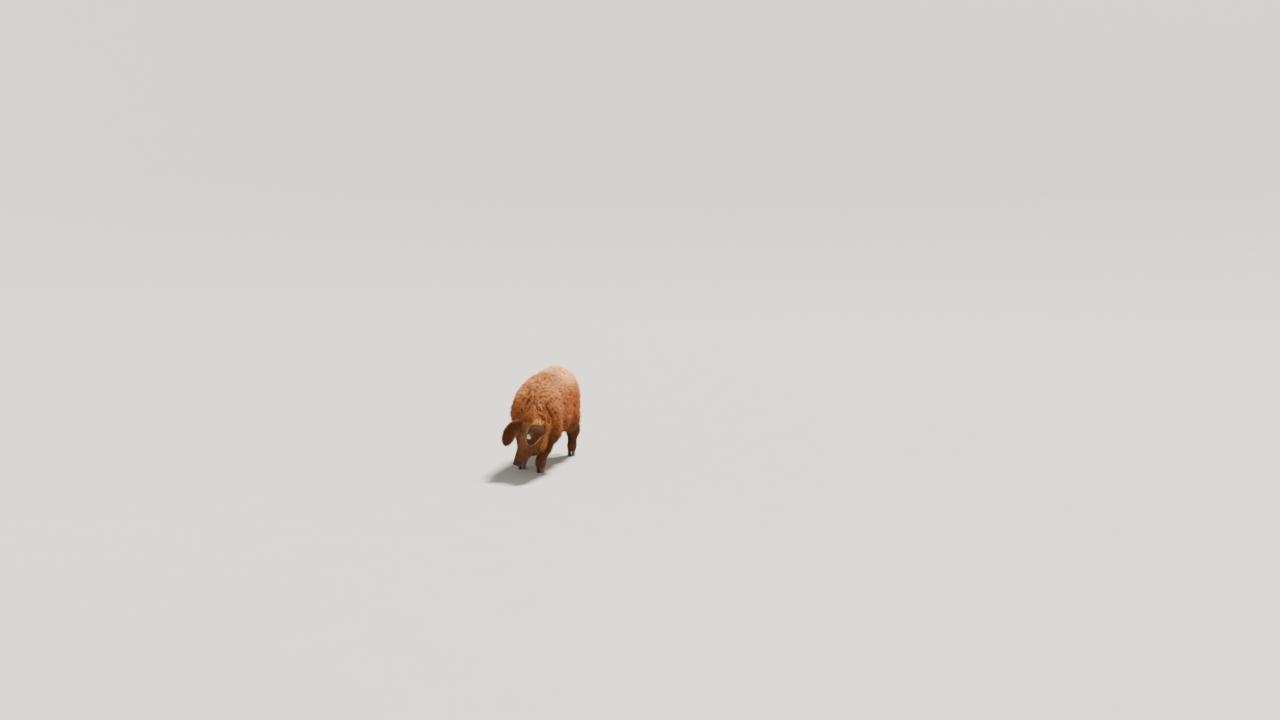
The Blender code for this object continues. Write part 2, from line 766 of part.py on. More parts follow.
def snout_disc():
    """The flat oval disc at the end of the snout, with two nostrils."""
    start = NOSE_CUT + GAP
    rings = []
    for along, scale in ((start, 0.93), (start + 0.005, 1.0), (DISC_AT - 0.003, 1.02), (DISC_AT, 0.94)):
        rings.append(oval(on_head(along, 0, -0.002), HEAD_LEFT, HEAD_UP, DISC_HALF[0] * scale, DISC_HALF[1] * scale, 24))
    disc = loft("snout_disc", rings)
    for side in (-1, 1):
        holes = []
        for along, scale in ((DISC_AT - 0.0115, 0.7), (DISC_AT + 0.002, 1.0)):
            middle = on_head(along, side * 0.0150, 0.0)
            holes.append(oval(middle, HEAD_LEFT, HEAD_UP, 0.0068 * scale, 0.0088 * scale, 12))
        combined(disc, [loft("nostril", holes)], "DIFFERENCE")
    return disc


CLAW_HALF = 0.0142


def claw(name, foot, side):
    """One cloven claw: a flat sole, a sloping front wall and a top that meets the pastern."""
    x, y = foot
    rings = []
    for height, centre, long, wide in (
        (0.0, -0.010, 0.033, 1.0),
        (0.010, -0.009, 0.0335, 1.0),
        (0.030, -0.005, 0.030, 0.98),
        (CORONET - GAP, -0.003, 0.0285, 0.94),
    ):
        ring = []
        for i in range(12):
            angle = 2 * math.pi * i / 12
            ahead = math.cos(angle)
            narrow = 1 - 0.5 * max(0.0, ahead) ** 1.6
            across = math.sin(angle) * CLAW_HALF * wide * narrow
            across -= side * 0.004 * max(0.0, ahead)
            ring.append(Vector((x + side * 0.0168 + across, y + centre - ahead * long, height)))
        rings.append(ring)
    return loft(name, rings)


def dewclaw(name, foot, side):
    """One small claw behind the pastern, pointing down and back."""
    x, y = foot
    back = 0.0 if name.find("front") >= 0 else 0.006
    start = Vector((x + side * 0.017, y + 0.022 + back, 0.082))
    end = Vector((x + side * 0.022, y + 0.058 + back, 0.050))
    along = (end - start).normalized()
    across = Vector((1, 0, 0))
    up = across.cross(along).normalized()
    rings = []
    for share, radius in ((0.0, 0.0085), (0.45, 0.0105), (0.85, 0.0075), (1.0, 0.0035)):
        rings.append(oval(start.lerp(end, share), across, up, radius, radius * 0.85, 8))
    return loft(name, rings)


TAIL_LINE = [(MID + 0.010, 0.440, 0.612), (MID + 0.010, 0.515, 0.610), (MID + 0.008, 0.562, 0.572),
             (MID + 0.012, 0.582, 0.500), (MID + 0.022, 0.580, 0.420), (MID + 0.034, 0.572, 0.350)]


def tail_ring(share, radius, sides=8):
    """A ring of places round the tail's middle line."""
    middle = curve(TAIL_LINE, share)
    ahead = (curve(TAIL_LINE, min(share + 0.01, 1.0)) - curve(TAIL_LINE, max(share - 0.01, 0.0))).normalized()
    across = Vector((1, 0, 0))
    across = (across - ahead * across.dot(ahead)).normalized()
    return oval(middle, across, ahead.cross(across), radius, radius, sides)


def tail_stem(name):
    """The tail without its tassel."""
    rings = []
    for step in range(9):
        share = step / 8
        rings.append(tail_ring(share, 0.027 - 0.013 * share))
    return loft(name, rings)


def tail():
    """The tail with the flat tapered locks of its tassel."""
    random = np.random.default_rng(11)
    locks = []
    for i in range(10):
        share = 0.62 + 0.36 * (i / 9)
        start = curve(TAIL_LINE, share)
        angle = i * 2.4
        way = Vector((math.cos(angle), math.sin(angle), 0))
        across = Vector((-math.sin(angle), math.cos(angle), 0))
        long = 0.115 + 0.03 * random.random()
        rings = []
        for part, wide in ((0.0, 0.007), (0.35, 0.013), (0.7, 0.010), (1.0, 0.002)):
            out = 0.004 + 0.020 * math.sin(part * 2.4)
            place = start + way * out - Vector((0, 0, 1)) * (long * part - 0.01)
            place = place + across * (0.010 * math.sin(part * 3 + i))
            rings.append(oval(place, across, way, wide, wide * 0.42, 5))
        locks.append(loft("lock", rings))
    return largest_only(combined(tail_stem("tail"), locks, "UNION"))


TAG_AT = (0.78, -0.45)
TAG_STEM = 0.0024


def tag_frame():
    """Where the tag's stem passes through the left ear, and the tag's own axes."""
    share, across = TAG_AT
    middle = ear_place("ear_left", share, across)
    down = ear_place("ear_left", share + 0.05, across) - ear_place("ear_left", share - 0.05, across)
    over = ear_place("ear_left", share, across + 0.1) - ear_place("ear_left", share, across - 0.1)
    out = over.cross(down).normalized()
    hollow = Vector(EARS["ear_left"]["hollow"])
    if out.dot(HEAD_LONG * hollow.x + HEAD_LEFT * hollow.y + HEAD_UP * hollow.z) > 0:
        out = -out
    down = (down - out * down.dot(out)).normalized()
    return middle, out, down, out.cross(down)


def tag_stem(name, radius, half):
    """A round bar through the ear where the tag hangs."""
    middle, out, down, over = tag_frame()
    return loft(name, [oval(middle + out * s * half, down, over, radius, radius, 10) for s in (-1, 1)])


def ear_tag():
    """A small blank tag: a plate on the ear's back, a stem through it and a button behind."""
    middle, out, down, over = tag_frame()
    plate = []
    for height in (0.0082, 0.0100):
        ring = []
        for i in range(16):
            angle = 2 * math.pi * (i + 0.5) / 16
            a = math.copysign(abs(math.cos(angle)) ** 0.5, math.cos(angle))
            b = math.copysign(abs(math.sin(angle)) ** 0.5, math.sin(angle))
            ring.append(middle + out * height + down * (0.009 + 0.018 * a) + over * (0.015 * b))
        plate.append(ring)
    button = [oval(middle + out * h, down, over, 0.008, 0.008, 12) for h in (-0.0100, -0.0080)]
    tag = tag_stem("ear_tag", TAG_STEM, 0.0092)
    return largest_only(combined(tag, [loft("plate", plate), loft("button", button)], "UNION"))


def finish(name, colour, rough):
    """A plain surface finish."""
    material = bpy.data.materials.new(name)
    material.use_nodes = True
    shader = material.node_tree.nodes["Principled BSDF"]
    shader.inputs["Base Color"].default_value = (*colour, 1)
    shader.inputs["Roughness"].default_value = rough
    material.diffuse_color = (*colour, 1)
    return material


def build():
    """Makes every part of the pig, each clear of its neighbours."""
    clumps = clump_places()
    parts = {name: body_part(name, clumps) for name in REGIONS}
    head = parts["head"]
    for side, word in ((1, "left"), (-1, "right")):
        centre, _ = eye_place(side)
        combined(head, [sphere("lid", centre, LID_RADIUS, 2)], "UNION")
        combined(head, [almond(side)], "DIFFERENCE")
        combined(head, [sphere("socket", centre, EYE_RADIUS + GAP, 2)], "DIFFERENCE")
        parts["eye_" + word] = sphere("eye_" + word, centre, EYE_RADIUS, 2)
        name = "ear_" + word
        parts[name] = ear(name)
        cut_clear(head, parts[name])
        cut_clear(parts["neck"], parts[name])
    combined(parts["ear_left"], [tag_stem("tag_hole", TAG_STEM + GAP, 0.03)], "DIFFERENCE")
    parts["ear_tag"] = ear_tag()
    parts["snout_disc"] = snout_disc()
    parts["tail"] = tail()
    cut_clear(parts["torso"], parts["tail"])
    for foot_name, foot in FEET.items():
        leg = parts["leg_" + foot_name]
        for side, word in ((1, "outer"), (-1, "inner")):
            side = side if foot_name.endswith("left") else -side
            hoof = "hoof_" + foot_name + "_" + word
            parts[hoof] = claw(hoof, foot, side)
            small = "dewclaw_" + foot_name + "_" + word
            parts[small] = dewclaw(small, foot, side)
            cut_clear(leg, parts[small])
    for part in parts.values():
        largest_only(part)
    return parts


FINISHES = {
    "coat": (COAT_RED, 0.8), "face": (FACE_BROWN, 0.7), "ear": (EAR_BROWN, 0.7), "snout": (SNOUT_GREY, 0.45),
    "horn": (HORN_BLACK, 0.4), "eye": (EYE_BROWN, 0.1), "tag": (TAG_CREAM, 0.5),
}
WORN = {"head": "face", "ear": "ear", "snout": "snout", "hoof": "horn", "dewclaw": "horn", "eye": "eye"}


def main():
    """Clears the scene, builds the pig and sets it over the middle of its floor print."""
    for obj in list(bpy.data.objects):
        bpy.data.objects.remove(obj)
    parts = build()
    finishes = {name: finish(name, colour, rough) for name, (colour, rough) in FINISHES.items()}
    for name, part in parts.items():
        part.name = name
        part.data.name = name
        part.data.transform(Matrix.Translation(SHIFT))
        worn = "tag" if name == "ear_tag" else WORN.get(name.split("_")[0], "coat")
        part.data.materials.clear()
        part.data.materials.append(finishes[worn])


if __name__ == "__main__":
    main()
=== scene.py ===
"""The dressed red mangalica: skin, woolly coat, face, feet, tail and blank ear tag round the frame.

Metres, +Z up. Shapes are drawn on the pig's own axes, in which it heads along -Y and its left side
is +X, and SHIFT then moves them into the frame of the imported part.
"""

import logging
import math
from dataclasses import dataclass, field
from enum import Enum
from typing import Callable, Sequence

import bpy
import numpy as np
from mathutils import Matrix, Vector, kdtree, noise


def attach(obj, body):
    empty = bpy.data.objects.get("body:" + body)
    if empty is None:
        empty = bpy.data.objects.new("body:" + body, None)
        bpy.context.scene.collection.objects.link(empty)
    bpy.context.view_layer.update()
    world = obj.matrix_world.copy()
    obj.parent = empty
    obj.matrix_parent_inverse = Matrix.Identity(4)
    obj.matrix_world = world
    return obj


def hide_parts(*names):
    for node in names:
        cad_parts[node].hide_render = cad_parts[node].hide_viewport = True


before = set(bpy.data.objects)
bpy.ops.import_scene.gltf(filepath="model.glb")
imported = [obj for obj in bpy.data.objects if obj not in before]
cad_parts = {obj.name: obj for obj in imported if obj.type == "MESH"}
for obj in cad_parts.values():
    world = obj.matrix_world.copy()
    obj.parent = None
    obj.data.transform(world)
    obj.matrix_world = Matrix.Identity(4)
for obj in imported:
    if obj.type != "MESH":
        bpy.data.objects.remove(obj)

Array = np.ndarray
Field = Callable[[Array], Array]
Colour = tuple[float, float, float]
Place = tuple[float, float, float]
Tile = tuple[float, float, float, float]

log = logging.getLogger("mangalica")
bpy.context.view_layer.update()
SHIFT = np.array((-0.040, 0.055, 0.0))
BAKE_MAP = "OFBake"
LOCK_PATCH = 0.003
FULL_TURN = 2 * math.pi
MID_TONE = 0.5


def smooth_step(low: float, high: float, value: Array) -> Array:
    """Rises smoothly from 0 at low to 1 at high, or falls where high lies below low."""
    share = np.clip((value - low) / (high - low), 0, 1)
    return share * share * (3 - 2 * share)


def unit(vectors: Array) -> Array:
    """Scales each vector to length 1."""
    return vectors / np.maximum(np.linalg.norm(vectors, axis=-1, keepdims=True), 1e-9)


def flattened(vectors: Array, out: Array) -> Array:
    """Lays each vector into the surface that out points away from, at length 1."""
    return unit(vectors - out * (vectors * out).sum(-1, keepdims=True))


def away(points: Array, place: Sequence[float]) -> Array:
    """How far each point lies from a place."""
    return np.linalg.norm(points - np.array(place), axis=1)


def turns_of(count: int) -> Array:
    """The angles of a full turn in even steps."""
    return np.arange(count) / count * FULL_TURN


def swung(angle: Array, first: Array, second: Array) -> Array:
    """The way at each angle from the first way towards the second."""
    return np.cos(angle)[..., None] * first + np.sin(angle)[..., None] * second


def speckle(points: Array, scale: float, seed: float = 0.0) -> Array:
    """Smooth random values, about -1 to 1, that change scale times a metre."""
    shift = Vector((seed, seed * 1.7, -seed))
    return np.array([noise.noise(Vector(p) * scale + shift) for p in points.tolist()])


def melt(total: Array, one: Array, soft: float) -> Array:
    """Joins one field to the total, with the crease between them filled softly."""
    share = np.clip(0.5 + 0.5 * (one - total) / soft, 0, 1)
    return one + (total - one) * share - soft * share * (1 - share)


def carved(total: Array, far: Array, soft: float) -> Array:
    """Takes a field's shape away from the total, with the edge between them rounded."""
    share = np.clip(0.5 - 0.5 * (total + far) / soft, 0, 1)
    return total - (total + far) * share + soft * share * (1 - share)


def grid_quads(rows: int, cols: int, whole: bool = True) -> Array:
    """Quads between rows of points, numbered row by row.

    Args:
        rows: how many rows of points there are.
        cols: how many points each row has.
        whole: closes each row into a ring.

    Returns:
        Four numbers a quad.
    """
    i, j = np.meshgrid(np.arange(rows - 1), np.arange(cols if whole else cols - 1), indexing="ij")
    right = (j + 1) % cols
    corners = (i * cols + j, i * cols + right, (i + 1) * cols + right, (i + 1) * cols + j)
    return np.stack(corners, -1).reshape(-1, 4)


def facing(corners: Array) -> Array:
    """The way out of each quad from its four corners, as long as twice its area."""
    return np.cross(corners[:, 2] - corners[:, 0], corners[:, 3] - corners[:, 1])


def curve_through(places: Array, share: Array) -> Array:
    """Places on the smooth line through several places.

    Args:
        places: what the line runs through.
        share: from 0 at the first to 1 at the last.

    Returns:
        One place a share.
    """
    at = np.minimum(share, 0.99999) * (len(places) - 1)
    i = at.astype(int)
    t = (at - i)[:, None]
    a, b = places[np.maximum(i - 1, 0)], places[i]
    c, d = places[i + 1], places[np.minimum(i + 2, len(places) - 1)]
    return 0.5 * (2 * b + (c - a) * t + (2 * a - 5 * b + 4 * c - d) * t**2 + (3 * b - a - 3 * c + d) * t**3)


def heading(places: Array, share: Array, step: float) -> Array:
    """The way along the smooth line through several places, read a step to each side."""
    before = curve_through(places, np.maximum(share - step, 0.0))
    return unit(curve_through(places, np.minimum(share + step, 1.0)) - before)


@dataclass(frozen=True)
class Mass:
    """A rounded mass of flesh: an ellipsoid that melts into what came before it."""

    centre: Sequence[float]
    radii: Sequence[float]
    soft: float = 0.06
    turn: Array = field(default_factory=lambda: np.eye(3))

    def far(self, points: Array) -> Array:
        """About how far each point lies outside the mass."""
        radii = np.array(self.radii, np.float32)
        local = (points - np.array(self.centre, np.float32)) @ self.turn.T.astype(np.float32)
        near = np.sqrt(((local / radii) ** 2).sum(1)) + 1e-6
        steep = np.sqrt(((local / radii**2) ** 2).sum(1)) + 1e-6
        return near * (near - 1) / steep


def nearest(points: Array, start: Array, end: Array) -> tuple[Array, Array]:
    """How far each point lies from a straight line, and how far along it the nearest place is.

    Args:
        points: the points.
        start: where the line starts.
        end: where it ends.

    Returns:
        The distances, and the shares of the line's length.
    """
    along = end - start
    local = points - start
    share = np.clip(local @ along / float(along @ along), 0, 1)
    return np.linalg.norm(local - share[:, None] * along, axis=1), share


@dataclass(frozen=True)
class Bar:
    """A round bar that tapers from its first radius to its last."""

    start: Sequence[float]
    end: Sequence[float]
    first: float
    last: float
    soft: float = 0.04

    def far(self, points: Array) -> Array:
        """How far each point lies outside the bar."""
        reach, share = nearest(points, np.array(self.start, np.float32), np.array(self.end, np.float32))
        return reach - (self.first + (self.last - self.first) * share)


def limb(*joints: tuple[Sequence[float], float], soft: float = 0.035) -> list[Bar]:
    """Bars from joint to joint, each joint a place and a radius."""
    return [Bar(a[0], b[0], a[1], b[1], soft) for a, b in zip(joints, joints[1:])]


def melted(parts: Sequence[Mass | Bar], points: Array) -> Array:
    """How far points lie outside the parts, each melted into the ones before it."""
    total = parts[0].far(points)
    for part in parts[1:]:
        total = melt(total, part.far(points), part.soft)
    return total


@dataclass(frozen=True)
class HeadAxes:
    """Where the head hangs: from the poll to the snout, with its brow turned to the pig's right."""

    poll: Place = (0.097, -0.545, 0.392)
    snout: Place = (0.000, -0.665, 0.094)
    brow_faces: Place = (-0.14, -0.89, 0.43)

    @property
    def turn(self) -> Array:
        """The ways along, left and up of the head, as rows."""
        along = unit(np.array(self.snout) - np.array(self.poll))
        brow = np.array(self.brow_faces)
        up = unit(brow - along * (brow @ along))
        return np.array((along, np.cross(up, along), up))

    def at(self, along: float, left: float, up: float) -> Array:
        """A place on the head: along it from the poll, to its left, and up out of the brow."""
        return np.array(self.poll) + np.array((along, left, up)) @ self.turn

    def local(self, points: Array) -> Array:
        """Points in the head's own axes: along, left and up."""
        return (points - np.array(self.poll)) @ self.turn.T


@dataclass(frozen=True)
class Groove:
    """A crease in the skin: a chain of places with a round tool run along them."""

    line: Array
    radius: float
    soft: float

    def far(self, points: Array) -> Array:
        """How far each point lies outside the tool's path."""
        bars = [Bar(a, b, self.radius, self.radius) for a, b in zip(self.line, self.line[1:])]
        return np.min([bar.far(points) for bar in bars], axis=0)


@dataclass(frozen=True)
class NeckFolds:
    """The creases on the left of the neck, where it bends down and meets the shoulder.

    Each line has its strength, its width and the places it runs through. The coat lies along run.
    """

    middle: Place = (0.18, -0.52, 0.45)
    faces: Place = (0.78, -0.30, 0.55)
    reach: float = 0.13
    depth: float = 0.028
    run: Place = (0.38, -0.42, -0.82)
    lines: tuple[tuple[float, float, tuple[Place, ...]], ...] = (
        (1.0, 0.0140, (
            (0.160, -0.430, 0.575), (0.181, -0.463, 0.513), (0.199, -0.480, 0.468),
            (0.213, -0.493, 0.425), (0.220, -0.494, 0.393), (0.218, -0.482, 0.345))),
        (0.85, 0.0090, (
            (0.132, -0.468, 0.550), (0.159, -0.498, 0.507), (0.185, -0.527, 0.455),
            (0.206, -0.552, 0.405))),
        (0.75, 0.0085, (
            (0.118, -0.508, 0.530), (0.144, -0.538, 0.491), (0.178, -0.568, 0.434),
            (0.186, -0.576, 0.402))),
        (0.65, 0.0085, ((0.112, -0.546, 0.503), (0.136, -0.566, 0.476), (0.168, -0.583, 0.423))),
    )

    def masks(self, points: Array) -> tuple[Array, Array]:
        """How far each point lies in a crease, and in the folded stretch as a whole.

        Args:
            points: places on or near the body.

        Returns:
            The crease mask and the stretch's mask, each 0 to 1.
        """
        facing = unit(np.array(self.faces))
        local = points - np.array(self.middle)
        deep = local @ facing
        aside = np.sqrt(np.maximum((local**2).sum(1) - deep**2, 0))
        zone = smooth_step(self.reach, self.reach * 0.55, aside) * smooth_step(-0.11, -0.06, deep)
        crease = np.zeros(len(points))
        near = np.nonzero(zone > 0)[0]
        side = unit(np.cross(facing, (0.0, 0.0, 1.0)))
        plane = np.stack([side, np.cross(facing, side)], 1)
        flat = local[near] @ plane
        for strength, width, places in self.lines:
            line = (np.array(places) - np.array(self.middle)) @ plane
            least = np.min([nearest(flat, start, end)[0] for start, end in zip(line, line[1:])], axis=0)
            crease[near] = np.maximum(crease[near], strength * np.exp(-((least / width) ** 2)))
        return crease * zone, zone


@dataclass(frozen=True)
class Unwrap:
    """Lays the skin out round an axis: along it and over both ends, and round it."""

    start: Sequence[float]
    end: Sequence[float]
    reach: float
    tile: Tile = (0.0, 0.0, 1.0, 1.0)
    round_share: float = 0.94
    margin: float = 0.01

    def __call__(self, points: Array) -> Array:
        """Where each point lies on the flat map, and how far a full turn goes there."""
        start = np.array(self.start, float)
        axis = np.array(self.end, float) - start
        length = float(np.linalg.norm(axis))
        axis = axis / length
        side = unit(np.cross(axis, (0.02, 0.05, 1.0) if abs(axis[2]) < 0.8 else (0.05, 1.0, 0.02)))
        local = points - start
        along = local @ axis
        across, over = local @ side, local @ np.cross(axis, side)
        out = np.hypot(across, over) + 1e-6
        past = np.arctan2(np.maximum(along - length, 0), out)
        ends = np.where(along < 0, -np.arctan2(-along, out), past)
        place = np.clip(along, 0, length) + ends * self.reach
        whole = length + math.pi * self.reach
        u = np.clip((place + 0.5 * math.pi * self.reach) / whole, self.margin, 1 - self.margin)
        v = 0.5 + np.arctan2(across, -over) / FULL_TURN * self.round_share
        left, low, wide, high = self.tile
        return np.stack([left + u * wide, low + v * high, np.full(len(u), self.round_share * high)], 1)


@dataclass
class Body:
    """The pig's bare body as one smooth field, with the depth and lie of the coat over it."""

    withers: float = 0.62
    rump_top: float = 0.695
    half_barrel: float = 0.152
    half_ham: float = 0.157
    belly: float = 0.245
    rear: float = 0.495
    middle: float = 0.036
    lift: float = 0.014
    feet: dict[str, tuple[float, float]] = field(default_factory=lambda: {
        "front_left": (0.096, -0.376),
        "front_right": (-0.080, -0.262),
        "hind_left": (0.150, 0.372),
        "hind_right": (-0.082, 0.302),
    })
    head: HeadAxes = HeadAxes()
    head_middle: Place = (0.16, 0.0, -0.03)
    eye_radius: float = 0.0115
    lid_radius: float = 0.0150
    eye_sunk: float = 0.0073
    eye_at: tuple[float, float] = (0.150, -0.012)
    nose_cut: float = 0.3165
    poll_tuft: Place = (0.128, -0.594, 0.377)
    folds: NeckFolds = NeckFolds()

    def __post_init__(self) -> None:
        """Works out the masses once, and then the eyes and creases that lie on them."""
        legs = [part for name, foot in self.feet.items() for part in self.leg(name, foot)]
        self.with_legs = self.trunk() + legs
        self.with_head = self.trunk() + self.skull()
        self.eyes = {side: self.eye_place(side) for side in (1, -1)}
        self.lids = [Mass(place, (self.lid_radius,) * 3, 0.010) for place, _ in self.eyes.values()]
        self.face_creases = self.creases_of_face()

    def trunk(self) -> list[Mass | Bar]:
        """The flesh of the barrel, back, chest, belly, rump and neck."""
        mid, top = self.middle, self.rump_top
        return [
            Mass((mid, -0.01, 0.465), (self.half_barrel, 0.40, 0.215), 0.05),
            Bar((mid, -0.10, 0.545), (mid + 0.010, 0.25, top - 0.120), 0.105, 0.120, 0.06),
            Mass((mid + 0.005, 0.03, self.belly + 0.125), (0.142, 0.29, 0.130)),
            Mass((mid + 0.010, 0.265, top - 0.200), (0.148, self.rear - 0.265, 0.200)),
            Mass((mid + 0.018, -0.27, 0.425), (0.112, 0.210, 0.185)),
            Mass((mid + 0.006, -0.235, self.withers - 0.085), (0.080, 0.170, 0.085), 0.08),
            Mass((mid + 0.082, -0.300, 0.425), (0.066, 0.115, 0.160), 0.05),
            Mass((mid - 0.050, -0.270, 0.440), (0.052, 0.115, 0.150), 0.05),
            Bar((mid + 0.012, -0.27, 0.465), (0.088, -0.490, 0.378), 0.132, 0.098, 0.07),
            Mass((0.060, -0.430, 0.315), (0.085, 0.085, 0.080)),
        ]

    @staticmethod
    def side_of(name: str) -> int:
        """1 for a leg on the pig's left, -1 for one on its right."""
        return 1 if name.endswith("left") else -1

    def leg(self, name: str, foot: tuple[float, float]) -> list[Mass | Bar]:
        """The flesh of one leg, from the shoulder or ham to the claws.

        Args:
            name: which leg it is.
            foot: where its foot stands, across and along.

        Returns:
            Its masses, in the order in which they melt.
        """
        x, y = foot
        mid, side = self.middle, self.side_of(name)
        sole = ((x, y - 0.002, 0.03), 0.027)
        if name.startswith("front"):
            shoulder = (mid + 0.012 + side * 0.080, y * 0.35 - 0.215, 0.43)
            elbow = (mid + 0.010 + side * 0.086, y * 0.3 - 0.17, 0.295)
            knee = (0.5 * (elbow[0] + x), y * 0.72 - 0.075, 0.165)
            fetlock = (x, y + 0.012, 0.080)
            bars = limb((shoulder, 0.078), (elbow, 0.056), (knee, 0.037), (fetlock, 0.029), sole)
            return bars + [Mass(elbow, (0.052, 0.068, 0.075), 0.05)]
        stifle = (mid + side * 0.112, y * 0.5 + 0.085, 0.345)
        hock = (x, y * 0.6 + 0.205, 0.205)
        fetlock = (x, y + 0.018, 0.080)
        ham = Mass((mid + side * 0.085, 0.335, 0.44), (self.half_ham - 0.085, 0.148, 0.205))
        bars = limb((stifle, 0.064), (hock, 0.040), (fetlock, 0.030), sole)
        return [ham, Mass(stifle, (0.056, 0.082, 0.105))] + bars

    def head_mass(self, place: Place, radii: Place, soft: float = 0.03) -> Mass:
        """A rounded mass whose radii run along the head's own axes."""
        return Mass(self.head.at(*place), radii, soft, self.head.turn)

    def head_bar(self, start: Place, end: Place, first: float, last: float, soft: float) -> Bar:
        """A tapering bar between two places on the head."""
        return Bar(self.head.at(*start), self.head.at(*end), first, last, soft)

    def skull(self) -> list[Mass | Bar]:
        """The flesh of the head: cranium, cheeks, jowl, muzzle, nose bridge, jaw and brows."""
        parts: list[Mass | Bar] = [
            self.head_mass((0.085, 0, -0.042), (0.092, 0.080, 0.074), 0.04),
            self.head_mass((0.120, 0, -0.092), (0.098, 0.070, 0.054), 0.04),
            self.head_bar((0.140, 0, -0.020), (0.312, 0, -0.003), 0.065, 0.0375, 0.03),
            self.head_bar((0.115, 0, 0.004), (0.305, 0, 0.010), 0.032, 0.021, 0.025),
            self.head_bar((0.150, 0, -0.090), (0.282, 0, -0.046), 0.040, 0.024, 0.025),
            self.head_mass((0.284, 0, -0.052), (0.026, 0.024, 0.018), 0.015),
        ]
        for side in (-1, 1):
            lip = ((0.210, side * 0.036, -0.038), (0.292, side * 0.023, -0.027))
            parts += [
                self.head_mass((0.128, side * 0.052, -0.066), (0.082, 0.048, 0.070), 0.035),
                self.head_mass((0.112, side * 0.050, 0.006), (0.034, 0.024, 0.017), 0.025),
                self.head_mass((0.030, side * 0.068, -0.016), (0.040, 0.030, 0.036), 0.03),
                self.head_bar(*lip, 0.018, 0.013, 0.015),
            ]
        return parts

    def masses(self, points: Array) -> Array:
        """How far each point lies outside the body before anything is carved."""
        return np.minimum(melted(self.with_legs, points), melted(self.with_head, points))

    @staticmethod
    def slope(of: Field, points: Array, step: float) -> Array:
        """The way in which a field, read a step to each side, rises fastest at each point."""
        ways = np.eye(3, dtype=np.float32) * step
        return unit(np.stack([of(points + way) - of(points - way) for way in ways], 1))

    def on_surface(self, points: Array) -> Array:
        """Draws points onto the bare body."""
        points = np.array(points, np.float32)
        for _ in range(6):
            points = points - self.masses(points)[:, None] * self.slope(self.masses, points, 0.004)
        return points

    def eye_place(self, side: int) -> tuple[Array, Array]:
        """Finds where one eye lies, sunk under the side of the brow.

        Args:
            side: 1 for the left eye, -1 for the right one.

        Returns:
            The eye's centre, and the way it looks.
        """
        along, up = self.eye_at
        look = unit(np.array((0.16, side * 0.86, 0.48)) @ self.head.turn)
        start = self.head.at(along, side * 0.02, up)
        steps = np.linspace(0.0, 0.12, 481)
        line = start + look * steps[:, None]
        reach = float(steps[np.argmax(self.masses(line.astype(np.float32)) > 0)])
        return start + look * (reach - self.eye_sunk), look

    def eye_axes(self, side: int) -> tuple[Array, Array, Array, Array]:
        """Finds how one eye's opening lies.

        Args:
            side: 1 for the left eye, -1 for the right one.

        Returns:
            The eye's centre, the way it looks, and the ways along and up its opening.
        """
        centre, look = self.eyes[side]
        long, _, up = self.head.turn
        along = unit(flattened(long, look) - up * 0.18)
        return centre, look, along, unit(np.cross(look, along)) * side

    def creases_of_face(self) -> list[Groove]:
        """The mouth line, the folds over each eye and the fold of each cheek."""
        at = self.head.at
        creases = []
        for side in (-1, 1):
            mouth = ((0.165, 0.056, -0.060), (0.240, 0.041, -0.048), (0.312, 0.027, -0.034))
            creases.append(Groove(np.array([at(a, side * b, c) for a, b, c in mouth]), 0.0032, 0.006))
            folds = [
                ([at(0.118 + 0.014 * k, side * (0.052 - 0.002 * k), 0.020 - drop + 0.003 * k)
                  for k in range(5)], radius, 0.006)
                for drop, radius in ((0.0, 0.0022), (0.012, 0.0018))
            ]
            cheek = [at(0.175 + 0.008 * k, side * (0.060 - 0.003 * k), -0.035 - 0.012 * k) for k in range(4)]
            for line, radius, soft in folds + [(cheek, 0.0022, 0.007)]:
                creases.append(Groove(self.on_surface(np.array(line)), radius, soft))
        return creases

    def snout_disc(self, points: Array) -> Array:
        """How far each point lies outside the flat oval disc at the end of the snout."""
        along, left, up = self.head.local(points).T
        reach = (np.hypot(left / 0.0385, (up + 0.002) / 0.0345) - 1) * 0.036
        dish = 0.0022 * np.maximum(0, 1 - ((left / 0.030) ** 2 + ((up + 0.002) / 0.027) ** 2))
        deep = np.abs(along - 0.3215 + 0.5 * dish) - 0.0085 + 0.5 * dish
        outside = np.hypot(np.maximum(reach + 0.005, 0), np.maximum(deep + 0.005, 0))
        return outside + np.minimum(np.maximum(reach, deep) + 0.005, 0) - 0.005

    @staticmethod
    def rump(points: Array) -> Array:
        """How far back on the rump each point lies, from 0 to 1."""
        return smooth_step(0.02, 0.26, points[:, 1])

    def skin(self, points: Array) -> Array:
        """How far each point lies outside the skin, with lids, disc, nostrils, folds and creases."""
        crease, zone = self.folds.masks(points)
        deep = 1 + 1.1 * zone - 0.5 * self.rump(points)
        total = self.masses(points) - self.lift * self.coat_share(points) * deep
        total = total + crease * self.folds.depth
        near = away(points, self.head.at(0.17, 0, -0.03)) < 0.24
        if near.any():
            total[near] = self.face(points[near], total[near])
        return total

